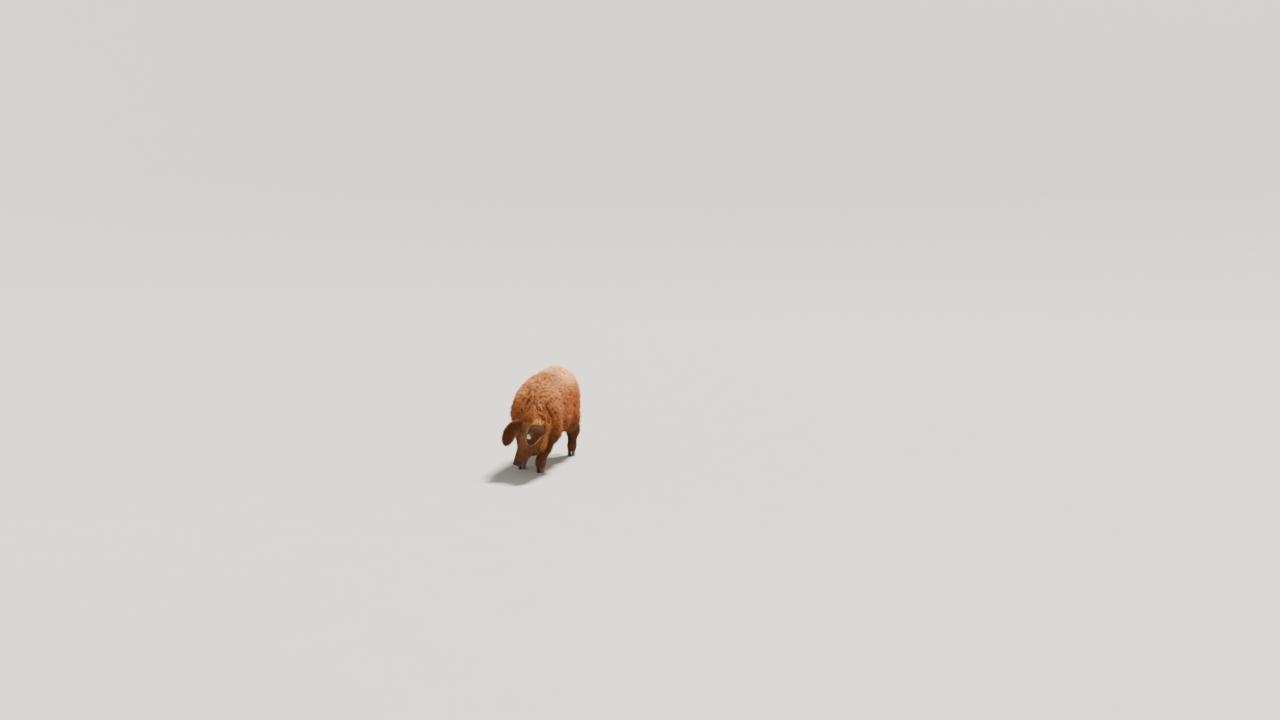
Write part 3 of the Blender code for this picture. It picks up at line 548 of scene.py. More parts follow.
    def face(self, points: Array, total: Array) -> Array:
        """Adds what is finer on the head to the field of the body.

        Args:
            points: places near the head.
            total: how far they lie outside the body so far.

        Returns:
            How far they lie outside the finished head.
        """
        disc = self.snout_disc(points)
        total = np.maximum(total, self.head.local(points)[:, 0] - self.nose_cut)
        along, left, up = self.head.local(points).T
        collar = np.maximum(np.abs(along - 0.3080) - 0.0012, 0.0335 - np.hypot(left, (up + 0.002) * 1.1))
        total = melt(carved(total, collar, 0.005), disc, 0.004)
        for lid in self.lids:
            total = melt(total, lid.far(points), lid.soft)
        for crease in self.face_creases:
            total = carved(total, crease.far(points), crease.soft)
        for side in (1, -1):
            centre, look, along, up = self.eye_axes(side)
            opening = Mass(centre + look * 0.012, (0.0108, 0.0062, 0.016), 0, np.array((along, up, look)))
            nostril = self.head_mass((0.329, side * 0.0150, 0.0), (0.013, 0.0066, 0.0086))
            for tool, soft in ((opening, 0.002), (Mass(centre, (0.0119,) * 3), 0.001), (nostril, 0.004)):
                total = carved(total, tool.far(points), soft)
        return total

    def coat_share(self, points: Array) -> Array:
        """How deep the coat is at each point, from 0 on bare skin to 1 on the trunk."""
        along, _, up = self.head.local(points).T
        head = 1 - 0.97 * smooth_step(-0.06, 0.10, along + 0.35 * (up + 0.03))
        near_head = 1 - smooth_step(0.22, 0.30, away(points, self.head.at(*self.head_middle)))
        legs = 0.08 + 0.92 * smooth_step(0.12, 0.34, points[:, 2])
        return (1 + (head - 1) * near_head) * (legs + (1 - legs) * near_head)

    def coat_height(self, points: Array) -> Array:
        """How long the coat stands at each point: its share, cut short in the folds of the neck."""
        crease, zone = self.folds.masks(points)
        return self.coat_share(points) * (1 - 0.50 * zone) * (1 - 0.75 * crease)

    def lie(self, points: Array) -> Array:
        """Which way the coat runs: back and down, down the legs, up the head, along the folds."""
        across = 2.0 * (points[:, 0] - self.middle)
        way = np.stack([across, np.full(len(points), 1.0), np.full(len(points), -0.45)], 1)
        low = smooth_step(0.34, 0.24, points[:, 2])[:, None]
        way = way * (1 - low) + np.array((0.0, 0.25, -1.0)) * low
        zone = self.folds.masks(points)[1][:, None]
        way = way * (1 - zone) + np.array(self.folds.run) * zone
        on_head = smooth_step(0.30, 0.20, away(points, self.head.at(*self.head_middle)))[:, None]
        return way * (1 - on_head) - self.head.turn[0] * on_head

    def head_out(self, points: Array) -> Array:
        """How far each point lies behind the planes that part the head from the neck and legs."""
        long, _, up = self.head.turn
        back = (points - self.head.at(-0.004, 0, 0)) @ -unit(long * 0.885 + up * 0.466)
        before = (points - np.array((0, -0.418, 0.22))) @ unit(np.array((0, 1, -0.386)))
        return np.maximum(back, before).astype(np.float32)

    def masks(self, points: Array, out: Array) -> Array:
        """The markings, painted shade and painted light that skin and coat share, from the body's own shape.

        Args:
            points: places on the body.
            out: the way out of it at each.

        Returns:
            Rows of dark mask with painted shade, of sun lightening with painted light, and of bare snout,
            each 0 to 1.
        """
        along, left, up = self.head.local(points).T
        left = np.abs(left)
        _, y, z = points.T
        head = smooth_step(0.03, -0.03, self.head_out(points))
        cheek = smooth_step(-0.01, 0.03, -up) * smooth_step(0.19, 0.11, along) * smooth_step(0.02, 0.06, left)
        # Darker low on the body: partly the real dark lower legs, partly painted shade on the chest, lower
        # flank and ham.
        low = smooth_step(0.58, 0.14, z) * (1 - head)
        # Darker on the front of the shoulders: painted shade.
        shoulder = smooth_step(0.05, -0.18, y) * smooth_step(0.62, 0.48, z) * (1 - head)
        mask = head * (0.95 - 0.85 * cheek) * smooth_step(-0.03, 0.06, along)
        # The creases of the neck join the dark mask as painted shade.
        darks = (mask, 0.95 * low, 0.32 * shoulder, 0.8 * self.folds.masks(points)[0])
        # Lighter on the upward faces of the back and rump: partly sun-lightened coat, partly painted sunlight
        # from above.
        back = smooth_step(0.10, 0.80, out[:, 2]) * (1 - head) * smooth_step(0.35, 0.62, z)
        back = back * (0.22 + 0.78 * smooth_step(-0.12, 0.24, y))
        # Lighter on the poll tuft: painted rim light.
        tuft = smooth_step(0.044, 0.018, away(points, self.poll_tuft))
        brow = smooth_step(0.005, 0.045, up) * smooth_step(0.080, 0.060, up) * smooth_step(0.09, 0.06, left)
        brow = brow * smooth_step(0.29, 0.12, along) * smooth_step(0.00, 0.06, along) * head
        bleach_and_painted_light = np.max((back, 1.2 * tuft, 0.46 * brow, 0.15 * cheek * head), axis=0)
        bare = smooth_step(0.298, 0.308, along) * head
        return np.stack([np.max(darks, axis=0) * (1 - tuft), bleach_and_painted_light, bare], 1)

    def trunk_map(self, tile: Tile = (0.0, 0.0, 1.0, 1.0)) -> Unwrap:
        """The flat map of the trunk."""
        return Unwrap((self.middle, -0.25, 0.46), (self.middle, 0.28, 0.48), 0.20, tile)

    def head_map(self, tile: Tile = (0.0, 0.0, 1.0, 1.0)) -> Unwrap:
        """The flat map of the head."""
        return Unwrap(self.head.at(0.05, 0, -0.04), self.head.at(0.29, 0, -0.01), 0.05, tile)

    def leg_map(self, name: str, tile: Tile = (0.0, 0.0, 1.0, 1.0)) -> Unwrap:
        """The flat map of a leg."""
        x, y = self.feet[name]
        return Unwrap((x, y, 0.26), (x, y, 0.04), 0.03, tile)


@dataclass(frozen=True)
class SurfaceNet:
    """Quads where a field is zero, read only near the surface and drawn onto it."""

    cell: float
    block: int = 4

    def values(self, of: Field, low: Array, high: Array) -> Array:
        """Reads the field at grid corners near its surface, and fills in its sign elsewhere.

        Args:
            of: the field.
            low: the lowest corner of the space it lies in.
            high: the highest corner.

        Returns:
            The values on the grid.
        """
        wide = self.cell * self.block
        counts = np.ceil((high - low) / wide).astype(int)
        axes = [low[i] + (np.arange(counts[i]) + 0.5) * wide for i in range(3)]
        middles = np.stack(np.meshgrid(*axes, indexing="ij"), -1).reshape(-1, 3).astype(np.float32)
        value = of(middles).reshape(counts).astype(np.float32)
        near = np.abs(value) < wide * 1.15
        for axis in range(3):
            value = np.repeat(value, self.block, axis)
            near = np.repeat(near, self.block, axis)
        value = np.pad(value, ((0, 1),) * 3, mode="edge")
        near = np.pad(near, ((0, 1),) * 3, mode="edge")
        for axis in range(3):
            moved = np.moveaxis(near, axis, 0)
            moved[1:] |= moved[:-1].copy()
        at = np.argwhere(near)
        value[tuple(at.T)] = of((low + at * self.cell).astype(np.float32))
        for axis in range(3):
            side = np.moveaxis(value, axis, 0)
            side[0], side[-1] = 1, 1
        return value

    def mesh(self, of: Field, low: Sequence[float], high: Sequence[float]) -> tuple[Array, Array]:
        """Makes the surface.

        Args:
            of: the field.
            low: the lowest corner of the space it lies in.
            high: the highest corner.

        Returns:
            Points and quads.
        """
        low = np.array(low, float)
        value = self.values(of, low, np.array(high, float))
        cells = tuple(n - 1 for n in value.shape)
        total = np.zeros(cells + (3,), np.float32)
        count = np.zeros(cells, np.int32)
        crossings = []
        for axis in range(3):
            moved = np.moveaxis(value, axis, 0)
            at = np.argwhere(np.moveaxis((moved[:-1] < 0) != (moved[1:] < 0), 0, axis))
            step = np.eye(3, dtype=int)[axis]
            first, second = value[tuple(at.T)], value[tuple((at + step).T)]
            place = low + (at + (first / (first - second))[:, None] * step) * self.cell
            around = []
            for way in ((0, 0), (1, 0), (1, 1), (0, 1)):
                cell_at = at.copy()
                cell_at[:, (axis + 1) % 3] -= way[0]
                cell_at[:, (axis + 2) % 3] -= way[1]
                around.append(cell_at)
                np.add.at(total, tuple(cell_at.T), place)
                np.add.at(count, tuple(cell_at.T), 1)
            crossings.append((around, first < 0))
        used = np.argwhere(count > 0)
        number = np.full(cells, -1, np.int64)
        number[tuple(used.T)] = np.arange(len(used))
        points = total[tuple(used.T)] / count[tuple(used.T)][:, None]
        faces = []
        for around, solid_first in crossings:
            quad = np.stack([number[tuple(c.T)] for c in around], 1)
            faces.append(np.where(solid_first[:, None], quad, quad[:, ::-1]))
        return self.drawn(of, points), np.concatenate(faces)

    def drawn(self, of: Field, points: Array) -> Array:
        """Moves points one step onto the surface."""
        step, most = self.cell * 0.1, self.cell * 0.4
        here = of(points)
        ways = np.eye(3, dtype=np.float32) * step
        slope = np.stack([of(points + way) - here for way in ways], 1) / step
        square = np.maximum((slope**2).sum(1), 0.25)
        return points - np.clip(here / square, -most, most)[:, None] * slope


class Worn(Enum):
    """The names of the record's slots for finishes."""

    COAT = "coat"
    FACE = "face"
    EAR = "ear"
    HORN = "horn"
    EYE = "eye"
    TAG = "tag"


@dataclass
class Shell:
    """A mesh in the making: points, faces, and what each point carries.

    A map row holds the place on the flat map and how far one full turn round the shape goes there.
    """

    points: Array
    faces: Array
    maps: Array
    masks: Array
    tone: Array

    @staticmethod
    def outward(points: Array, faces: Array) -> Array:
        """The way out of a surface of quads at each of its points."""
        across = facing(points[faces])
        total = np.zeros_like(points)
        for k in range(4):
            for axis in range(3):
                total[:, axis] += np.bincount(faces[:, k], across[:, axis], len(points))
        return unit(total)

    @staticmethod
    def joined(shells: Sequence["Shell"]) -> "Shell":
        """Several shells as one. Quads and triangles may be mixed, a triangle ending in -1."""
        starts = np.cumsum([0] + [len(s.points) for s in shells[:-1]])
        faces = [np.where(s.faces < 0, -1, s.faces + start) for s, start in zip(shells, starts)]
        return Shell(
            np.concatenate([s.points for s in shells]),
            np.concatenate(faces),
            np.concatenate([np.pad(s.maps, ((0, 0), (0, 3 - s.maps.shape[1]))) for s in shells]),
            np.concatenate([s.masks for s in shells]),
            np.concatenate([s.tone for s in shells]),
        )


def lofted(rings: Array) -> Shell:
    """A closed shell through rings of places, with a middle point at each end.

    Args:
        rings: one ring a row, each with as many places.

    Returns:
        The shell, its faces outward.
    """
    rows, cols = rings.shape[:2]
    points = np.concatenate([rings.reshape(-1, 3), [rings[0].mean(0), rings[-1].mean(0)]])
    quads = grid_quads(rows, cols)
    k, none = np.arange(cols), np.full(cols, -1)
    after, last, first = (k + 1) % cols, (rows - 1) * cols, np.full(cols, rows * cols)
    cap = np.stack([k, first, after, none], 1)
    end = np.stack([last + k, last + after, first + 1, none], 1)
    faces = np.concatenate([quads, cap, end])
    corner = points[quads] - points.mean(0)
    if (facing(corner) * corner.mean(1)).sum() < 0:
        faces = np.concatenate([quads[:, ::-1], cap[:, [0, 2, 1, 3]], end[:, [0, 2, 1, 3]]])
    row = np.append(np.repeat(np.arange(rows), cols) / rows, [0.0, 1.0])
    turn = np.append(np.tile(np.arange(cols) / cols, rows), [0.5, 0.5])
    edge, wide = 0.02, 0.96
    maps = np.stack([edge + wide * row, edge + wide * turn, np.full(len(row), wide)], 1)
    return Shell(points, faces, maps, np.zeros((len(points), 4)), np.full(len(points), MID_TONE))


def make_piece(name: str, shell: Shell, material: bpy.types.Material, worn: Worn,
               nodes: Sequence[str] = ()) -> None:
    """Makes a shell into a piece of the scene that rides on the body.

    Args:
        name: the piece's name.
        shell: its mesh, on the pig's own axes.
        material: its finish.
        worn: not used.
        nodes: the solids that it stands for.
    """
    used = shell.faces >= 0
    corners = shell.faces[used]
    counts = used.sum(1)
    starts = np.concatenate([[0], np.cumsum(counts)[:-1]])
    mesh = bpy.data.meshes.new(name)
    mesh.vertices.add(len(shell.points))
    mesh.vertices.foreach_set("co", (shell.points + SHIFT).astype(np.float32).ravel())
    mesh.loops.add(len(corners))
    mesh.loops.foreach_set("vertex_index", corners.astype(np.int32))
    mesh.polygons.add(len(counts))
    mesh.polygons.foreach_set("loop_start", starts.astype(np.int32))
    mesh.polygons.foreach_set("use_smooth", np.ones(len(counts), bool))
    mesh.update(calc_edges=True)
    places = shell.maps[corners, :2]
    if shell.maps.shape[1] == 3:
        turn = np.maximum(shell.maps[corners, 2], 1e-6)
        gap = places[:, 1] - np.repeat(places[starts, 1], counts)
        places[:, 1] -= np.where(shell.maps[corners, 2] > 0, np.round(gap / turn) * turn, 0)
    layer = mesh.uv_layers.new(name=BAKE_MAP)
    layer.uv.foreach_set("vector", places.astype(np.float32).ravel())
    masks = mesh.attributes.new("masks", "FLOAT_COLOR", "POINT")
    masks.data.foreach_set("color", shell.masks.astype(np.float32).ravel())
    tone = mesh.attributes.new("tone", "FLOAT", "POINT")
    tone.data.foreach_set("value", shell.tone.astype(np.float32))
    mesh.materials.append(material)
    obj = bpy.data.objects.new(name, mesh)
    bpy.context.scene.collection.objects.link(obj)
    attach(obj, "root")
    if nodes:
        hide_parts(*nodes)
    log.info("%s: %d points, %d triangles", name, len(shell.points), int((counts - 2).sum()))


class Wire:
    """One output of a shader node, on which arithmetic adds Math nodes."""

    def __init__(self, graph: "Graph", socket: bpy.types.NodeSocket) -> None:
        """Keeps the socket and the graph that it belongs to."""
        self.graph = graph
        self.socket = socket

    def math(self, operation: str, *others: "Wire | float", clamp: bool = False) -> "Wire":
        """The result of one Math node on this value and others."""
        values = dict(enumerate((self, *others)))
        return self.graph.add("ShaderNodeMath", {"operation": operation, "use_clamp": clamp}, values)

    def __add__(self, other: "Wire | float") -> "Wire":
        """This plus another."""
        return self.math("ADD", other)

    __radd__ = __add__

    def __mul__(self, other: "Wire | float") -> "Wire":
        """This times another."""
        return self.math("MULTIPLY", other)

    __rmul__ = __mul__

    def __sub__(self, other: "Wire | float") -> "Wire":
        """This less another."""
        return self.math("SUBTRACT", other)

    def __rsub__(self, other: float) -> "Wire":
        """A number less this."""
        return self.math("MULTIPLY", -1.0).math("ADD", other)

    def clamped(self) -> "Wire":
        """This kept between 0 and 1."""
        return self.math("ADD", 0.0, clamp=True)


class Graph:
    """The node tree of one material."""

    def __init__(self, name: str) -> None:
        """Starts a material with nothing in its tree."""
        self.material = bpy.data.materials.new(name)
        self.material.use_nodes = True
        self.tree = self.material.node_tree
        self.tree.nodes.clear()

    def add(self, kind: str, settings: dict | None = None, sockets: dict | None = None,
            out: int | str = 0) -> Wire:
        """Adds a node.

        Args:
            kind: the node's type.
            settings: its own settings; stops gives a ramp's places and colours.
            sockets: values or wires for its inputs, by name or number.
            out: which output to hand back.

        Returns:
            That output.
        """
        node = self.tree.nodes.new(kind)
        for key, value in (settings or {}).items():
            if key == "stops":
                ramp = node.color_ramp.elements
                while len(ramp) < len(value):
                    ramp.new(1.0)
                for element, (place, colour) in zip(ramp, value):
                    element.position = place
                    element.color = (*colour, 1.0)
            else:
                setattr(node, key, value)
        for key, value in (sockets or {}).items():
            socket = node.inputs[key]
            if isinstance(value, Wire):
                self.tree.links.new(value.socket, socket)
            elif isinstance(value, tuple) and len(value) == 3 and socket.type == "RGBA":
                socket.default_value = (*value, 1.0)
            else:
                socket.default_value = value
        return Wire(self, node.outputs[out])

    def mix(self, share: Wire | float, first: Wire | Colour, second: Wire | Colour,
            blend: str = "MIX") -> Wire:
        """A colour between two others."""
        settings = {"data_type": "RGBA", "blend_type": blend}
        return self.add("ShaderNodeMix", settings, {0: share, 6: first, 7: second}, 2)

    def shaded(self, share: Wire | float, colour: Wire, shade: Wire | Colour) -> Wire:
        """A colour, a share of it multiplied by a shade."""
        return self.mix(share, colour, self.mix(1.0, colour, shade, "MULTIPLY"))

    def place(self) -> Wire:
        """The piece's own space."""
        return self.add("ShaderNodeTexCoord", out="Object")

    def noise(self, scale: float, detail: float = 3.0, rough: float = 0.5,
              stretch: Place = (1.0, 1.0, 1.0)) -> Wire:
        """Noise over the piece's own space, stretched if asked."""
        place = self.place()
        if stretch != (1.0, 1.0, 1.0):
            place = self.add("ShaderNodeMapping", {}, {"Vector": place, "Scale": stretch})
        sockets = {"Vector": place, "Scale": scale, "Detail": detail, "Roughness": rough}
        return self.add("ShaderNodeTexNoise", {}, sockets)

    def attribute(self, name: str, out: str = "Fac") -> Wire:
        """A value that the mesh carries."""
        return self.add("ShaderNodeAttribute", {"attribute_name": name}, out=out)

    def masks(self) -> tuple[Wire, Wire, Wire, Wire]:
        """The dark mask with its painted shade, the sun lightening with its painted light, the bare snout and
        the share towards a lock's tip.
        """
        colour = self.attribute("masks", "Color")
        parts = [self.add("ShaderNodeSeparateColor", {}, {0: colour}, k) for k in range(3)]
        return parts[0], parts[1], parts[2], self.attribute("masks", "Alpha")

    def bump(self, height: Wire, strength: float, deep: float) -> Wire:
        """A bump for the shader's normal: a relief, how much of it shows, and its depth in metres."""
        return self.add("ShaderNodeBump", {}, {"Height": height, "Strength": strength, "Distance": deep})

    def surface(self, **sockets: Wire | float | Colour) -> bpy.types.Material:
        """Ends the graph in one Principled shader.

        Args:
            sockets: values or wires for its inputs, named with underscores for spaces.

        Returns:
            The finished material.
        """
        named = {key.replace("_", " "): value for key, value in sockets.items()}
        shader = self.add("ShaderNodeBsdfPrincipled", {}, named)
        output = self.tree.nodes.new("ShaderNodeOutputMaterial")
        self.tree.links.new(shader.socket, output.inputs["Surface"])
        return self.material


@dataclass(frozen=True)
class HideFinish:
    """Skin: dark and short-haired on the face, legs and ears, slate black and moist on the disc, and dark on
    the trunk as painted shade in the gaps of the wool.
    """

    # Dark on the trunk: painted shade for the gaps between the locks of wool.
    trunk: Colour = (0.19, 0.052, 0.013)
    face: Colour = (0.060, 0.020, 0.006)
    face_warm: Colour = (0.125, 0.050, 0.017)
    hair: Colour = (0.02, 0.008, 0.004)
    bleached_and_sunlit: Colour = (0.40, 0.18, 0.07)
    grime: Colour = (0.45, 0.42, 0.40)
    slate: Colour = (0.022, 0.014, 0.010)
    slate_worn: Colour = (0.058, 0.038, 0.026)

    def material(self) -> bpy.types.Material:
        """Makes the finish."""
        graph = Graph("hide")
        dark, bleach_and_painted_light, bare, _ = graph.masks()
        blotch = graph.noise(26.0, 4.0, 0.6)
        fine = graph.noise(420.0, 3.0, 0.6)
        hairs = graph.noise(640.0, 3.0, 0.65, (1.0, 1.0, 0.10))
        pores = graph.add("ShaderNodeTexVoronoi", {}, {"Vector": graph.place(), "Scale": 520.0})
        face = graph.mix((blotch * 2.2 - 0.6).clamped(), self.face, self.face_warm)
        face = graph.mix((hairs * 2.4 - 0.9).clamped() * 0.7, face, graph.mix(0.5, self.face, self.hair))
        colour = graph.mix(dark, self.trunk, face)
        # Lighter where the sun has lightened the skin and where painted sunlight and rim light lie.
        colour = graph.mix(bleach_and_painted_light * 0.3, colour, self.bleached_and_sunlit)
        slate = graph.mix((blotch * 1.8 - 0.5).clamped(), self.slate, self.slate_worn)
        colour = graph.shaded(fine * 0.5, graph.mix(bare, colour, slate), self.grime)
        furred = hairs * (1.0 - bare) * 1.6 + pores * bare * 0.9
        relief = fine * 0.4 + furred + graph.noise(120.0, 4.0, 0.6) * 0.6
        return graph.surface(
            Base_Color=colour, Roughness=0.78 + fine * 0.12 - bare * 0.40,
            Normal=graph.bump(relief, 0.7, 0.0013), Specular_IOR_Level=0.22,
            Subsurface_Weight=0.05, Subsurface_Scale=0.004,
        )


@dataclass(frozen=True)
class WoolFinish:
    """Curls and hairs: dark at the root as painted shade deep in the coat, red along their length, lighter
    where the sun has lightened them and where painted sunlight lies.
    """

    name: str = "wool"
    # Darker at the root: painted shade deep in the coat.
    root: Colour = (0.20, 0.044, 0.008)
    red: Colour = (0.39, 0.094, 0.018)
    tip: Colour = (0.58, 0.180, 0.047)
    pale: Colour = (1.0, 0.565, 0.235)
    dark: Colour = (0.066, 0.019, 0.005)
    dark_tip: Colour = (0.155, 0.054, 0.016)
    shade: Colour = (0.58, 0.52, 0.48)
    sheen: Colour = (1.0, 0.62, 0.38)
    rough: float = 0.70

    def material(self) -> bpy.types.Material:
        """Makes the finish."""
        graph = Graph(self.name)
        dark, bleach_and_painted_light, _, tip = graph.masks()
        tone = graph.attribute("tone")
        patchy = graph.noise(9.0, 3.0, 0.55)
        along = graph.mix((tip * 1.6).clamped(), self.root, self.red)
        along = graph.mix((tip * 1.5 - 0.45 + tone * 0.35).clamped(), along, self.tip)
        face = graph.mix((tip * 1.2 + tone * 0.4 - 0.2).clamped(), self.dark, self.dark_tip)
        # Darker where the tone is low: random and patchy variation, and painted shade in the neck creases.
        shade = graph.mix((tone * 0.9 + patchy * 0.5 - 0.2).clamped(), self.shade, (1.0, 1.0, 1.0))
        colour = graph.mix(1.0, graph.mix(dark, along, face), shade, "MULTIPLY")
        # Towards the pale colour where the sun has lightened the coat and where painted sunlight and rim
        # light lie.
        faded_and_sunlit = (bleach_and_painted_light * (tip * 1.2 + 0.45) + (patchy - 0.5) * 0.30).clamped()
        fibre = graph.noise(900.0, 2.0, 0.5, (1.0, 1.0, 0.5))
        return graph.surface(
            Base_Color=graph.mix(faded_and_sunlit, colour, self.pale), Roughness=self.rough + fibre * 0.2,
            Normal=graph.bump(fibre, 0.5, 0.0006), Specular_IOR_Level=0.18,
            Sheen_Weight=0.05, Sheen_Roughness=0.5, Sheen_Tint=self.sheen,
        )


@dataclass(frozen=True)
class HornFinish:
    """Horn of the claws: near black, ringed by growth, worn pale and dusty at the sole."""

    black: Colour = (0.022, 0.018, 0.016)
    grown: Colour = (0.06, 0.05, 0.042)
    worn: Colour = (0.15, 0.115, 0.085)

    def material(self) -> bpy.types.Material:
        """Makes the finish."""
        graph = Graph("horn")
        place = graph.place()
        height = graph.add("ShaderNodeSeparateXYZ", {}, {0: place}, "Z")
        rings = graph.add("ShaderNodeTexWave", {"bands_direction": "Z"}, {
            "Vector": place, "Scale": 60.0, "Distortion": 3.0, "Detail": 3.0, "Detail Scale": 2.0})
        stain = graph.noise(90.0, 4.0, 0.6)
        wear = ((1.0 - height * 45.0).clamped() * 0.7 + stain * 0.9 - 0.55).clamped()
        return graph.surface(
            Base_Color=graph.mix(wear, graph.mix(rings * 0.35, self.black, self.grown), self.worn),
            Roughness=0.34 + stain * 0.3, Specular_IOR_Level=0.5,
            Normal=graph.bump(rings * 0.6 + stain * 0.5, 0.5, 0.0008),
        )


@dataclass(frozen=True)
class EyeFinish:
    """A wet dark eye: brown iris round a black pupil, its mask carried by the mesh."""

    white: Colour = (0.30, 0.20, 0.15)
    iris: Colour = (0.085, 0.036, 0.014)
    streaks: Colour = (0.03, 0.012, 0.006)
    rim: Colour = (0.020, 0.009, 0.005)
    pupil: Colour = (0.002, 0.002, 0.002)

    def material(self) -> bpy.types.Material:
        """Makes the finish."""
        graph = Graph("eye")
        out = graph.attribute("tone")
        streak = graph.noise(900.0, 2.0, 0.5)
        stops = [(0.0, self.pupil), (0.24, self.pupil), (0.28, self.iris), (0.52, self.iris),
                 (0.60, self.rim), (0.68, self.white)]
        base = graph.add("ShaderNodeValToRGB", {"stops": stops}, {"Fac": out})
        return graph.surface(
            Base_Color=graph.mix(streak * 0.4, base, self.streaks), Roughness=0.08 + streak * 0.02,
            Specular_IOR_Level=0.4, Coat_Weight=0.5, Coat_Roughness=0.03,
        )


@dataclass(frozen=True)
class TagFinish:
    """The blank ear tag: soft cream plastic, a little scuffed and dirty."""

    cream: Colour = (0.52, 0.45, 0.33)
    dirt: Colour = (0.27, 0.19, 0.11)

    def material(self) -> bpy.types.Material:
        """Makes the finish."""
        graph = Graph("tag")
        stain = graph.noise(160.0, 5.0, 0.65)
        scuff = graph.noise(900.0, 2.0, 0.5, (1.0, 1.0, 0.1))
        return graph.surface(
            Base_Color=graph.mix((stain * 1.8 - 0.75).clamped(), self.cream, self.dirt),
            Roughness=0.42 + scuff * 0.2, Normal=graph.bump(scuff + stain, 0.25, 0.0004),
            Subsurface_Weight=0.05, Subsurface_Scale=0.002,
        )


@dataclass
class Ears:
    """The two cupped ears: the left hangs over its eye, the right stands out to the side."""

    body: Body
    wide: float = 0.112
    widest_at: float = 0.42
    step: float = 0.02
    rows: int = 56
    columns: int = 36
    lines: dict[str, tuple[Place, ...]] = field(default_factory=lambda: {
        "left": ((0.004, 0.052, -0.012), (0.020, 0.082, 0.044), (0.075, 0.086, 0.098),
                 (0.168, 0.080, 0.095)),
        "right": ((0.010, -0.058, -0.012), (0.044, -0.118, 0.010), (0.115, -0.158, 0.010),
                  (0.215, -0.152, 0.004)),
    })
    hollows: dict[str, Place] = field(default_factory=lambda: {
        "left": (0.30, -0.45, -0.84), "right": (0.57, 0.60, 0.44),
    })

    def sheet(self, name: str, share: Array, across: Array) -> Array:
        """Places on the middle sheet of an ear.

        Args:
            name: left or right.
            share: from 0 at the root to 1 at the tip.
            across: from -1 to 1 across it.

        Returns:
            Places on the pig's own axes.
        """
        line = np.array(self.lines[name])
        ahead = heading(line, share, self.step)
        hollow = flattened(np.array(self.hollows[name]), ahead)
        sideways = unit(np.cross(ahead, hollow))
        root = 0.44 + 0.56 * np.minimum(1.0, share / self.widest_at) ** 0.8
        past = np.maximum(0.0, (share - self.widest_at) / (1 - self.widest_at))
        tip = np.sqrt(np.maximum(0.0, 1 - past**2.3))
        half = 0.5 * self.wide * root * np.maximum(tip, 0.12)
        cup = 0.42 - 0.22 * share
        most = 0.5 + cup * 1.6
        wide = np.sin(across * most) / np.maximum(np.sin(most), 0.1)
        ripple = 0.0016 * np.sin(share * 19 + across * 2.0) * np.abs(across) ** 3
        deep = half * cup * (1.5 * across**2 - 0.5) + ripple
        local = curve_through(line, share) + sideways * (half * wide)[:, None] + hollow * deep[:, None]
        return np.array(self.body.head.poll) + local @ self.body.head.turn

    def ways(self, name: str, share: Array, across: Array) -> tuple[Array, Array]:
        """Finds how an ear lies.

        Args:
            name: left or right.
            share: from 0 at the root to 1 at the tip.
            across: from -1 to 1 across it.

        Returns:
            The way out of the ear's back at each place, and the way towards its tip.
        """
        step = self.step
        before = self.sheet(name, np.maximum(share - step, 0), across)
        down = self.sheet(name, np.minimum(share + step, 1), across) - before
        beside = self.sheet(name, share, np.maximum(across - step, -1))
        over = self.sheet(name, share, np.minimum(across + step, 1)) - beside
        out = unit(np.cross(over, down))
        hollow = np.array(self.hollows[name]) @ self.body.head.turn
        return np.where((out @ hollow)[:, None] > 0, -out, out), unit(down)

    def thick(self, share: Array, across: Array) -> Array:
        """Half the ear's thickness at each place."""
        edge = np.sqrt(np.maximum(1 - across**8, 0.05))
        return (0.0050 - 0.0022 * across**2) * (1.5 - 0.8 * share) * 0.8 * edge

    def shells(self) -> list[Shell]:
        """The skin of both ears, with veins on the hollow side."""
        share = np.repeat(np.linspace(0, 1, self.rows + 1), self.columns + 1)
        across = np.tile(np.linspace(-1, 1, self.columns + 1), self.rows + 1)
        thick = self.thick(share, across)
        veins = 0.0007 * np.maximum(np.sin(across * 9 + share * 3), 0) ** 4
        veins = veins * smooth_step(1.0, 0.7, np.abs(across))
        shells = []
        for number, name in enumerate(self.lines):
            middle = self.sheet(name, share, across)
            out, _ = self.ways(name, share, across)
            back, front = middle + out * thick[:, None], middle - out * (thick + veins)[:, None]
            flat = np.stack([share, (across + 1) / 2], 1) * (0.11, 0.2)
            maps = [flat + (left + 0.24 * number, 0.77) for left in (0.50, 0.62)]
            shells.append(self.closed(back, front, np.concatenate(maps)))
        return shells

    def closed(self, back: Array, front: Array, maps: Array) -> Shell:
        """Joins the back and the hollow of an ear round its rim.

        Args:
            back: places on its back, row by row.
            front: places in its hollow.
            maps: where both lie on the flat map.

        Returns:
            The ear's shell.
        """
        rows, cols, size = self.rows, self.columns, len(back)
        quad = grid_quads(rows + 1, cols + 1, whole=False)
        rim = [(0, k) for k in range(cols)] + [(k, cols) for k in range(rows)]
        rim += [(rows, k) for k in range(cols, 0, -1)] + [(k, 0) for k in range(rows, 0, -1)]
        ring = np.array([a * (cols + 1) + b for a, b in rim])
        after = np.roll(ring, -1)
        sides = np.stack([ring, ring + size, after + size, after], 1)
        faces = np.concatenate([quad[:, ::-1], quad + size, sides[:, ::-1]])
        masks = np.zeros((2 * size, 4))
        masks[:size, 0], masks[size:, 0] = 0.95, 0.9
        return Shell(np.concatenate([back, front]), faces, maps, masks, np.full(2 * size, MID_TONE))


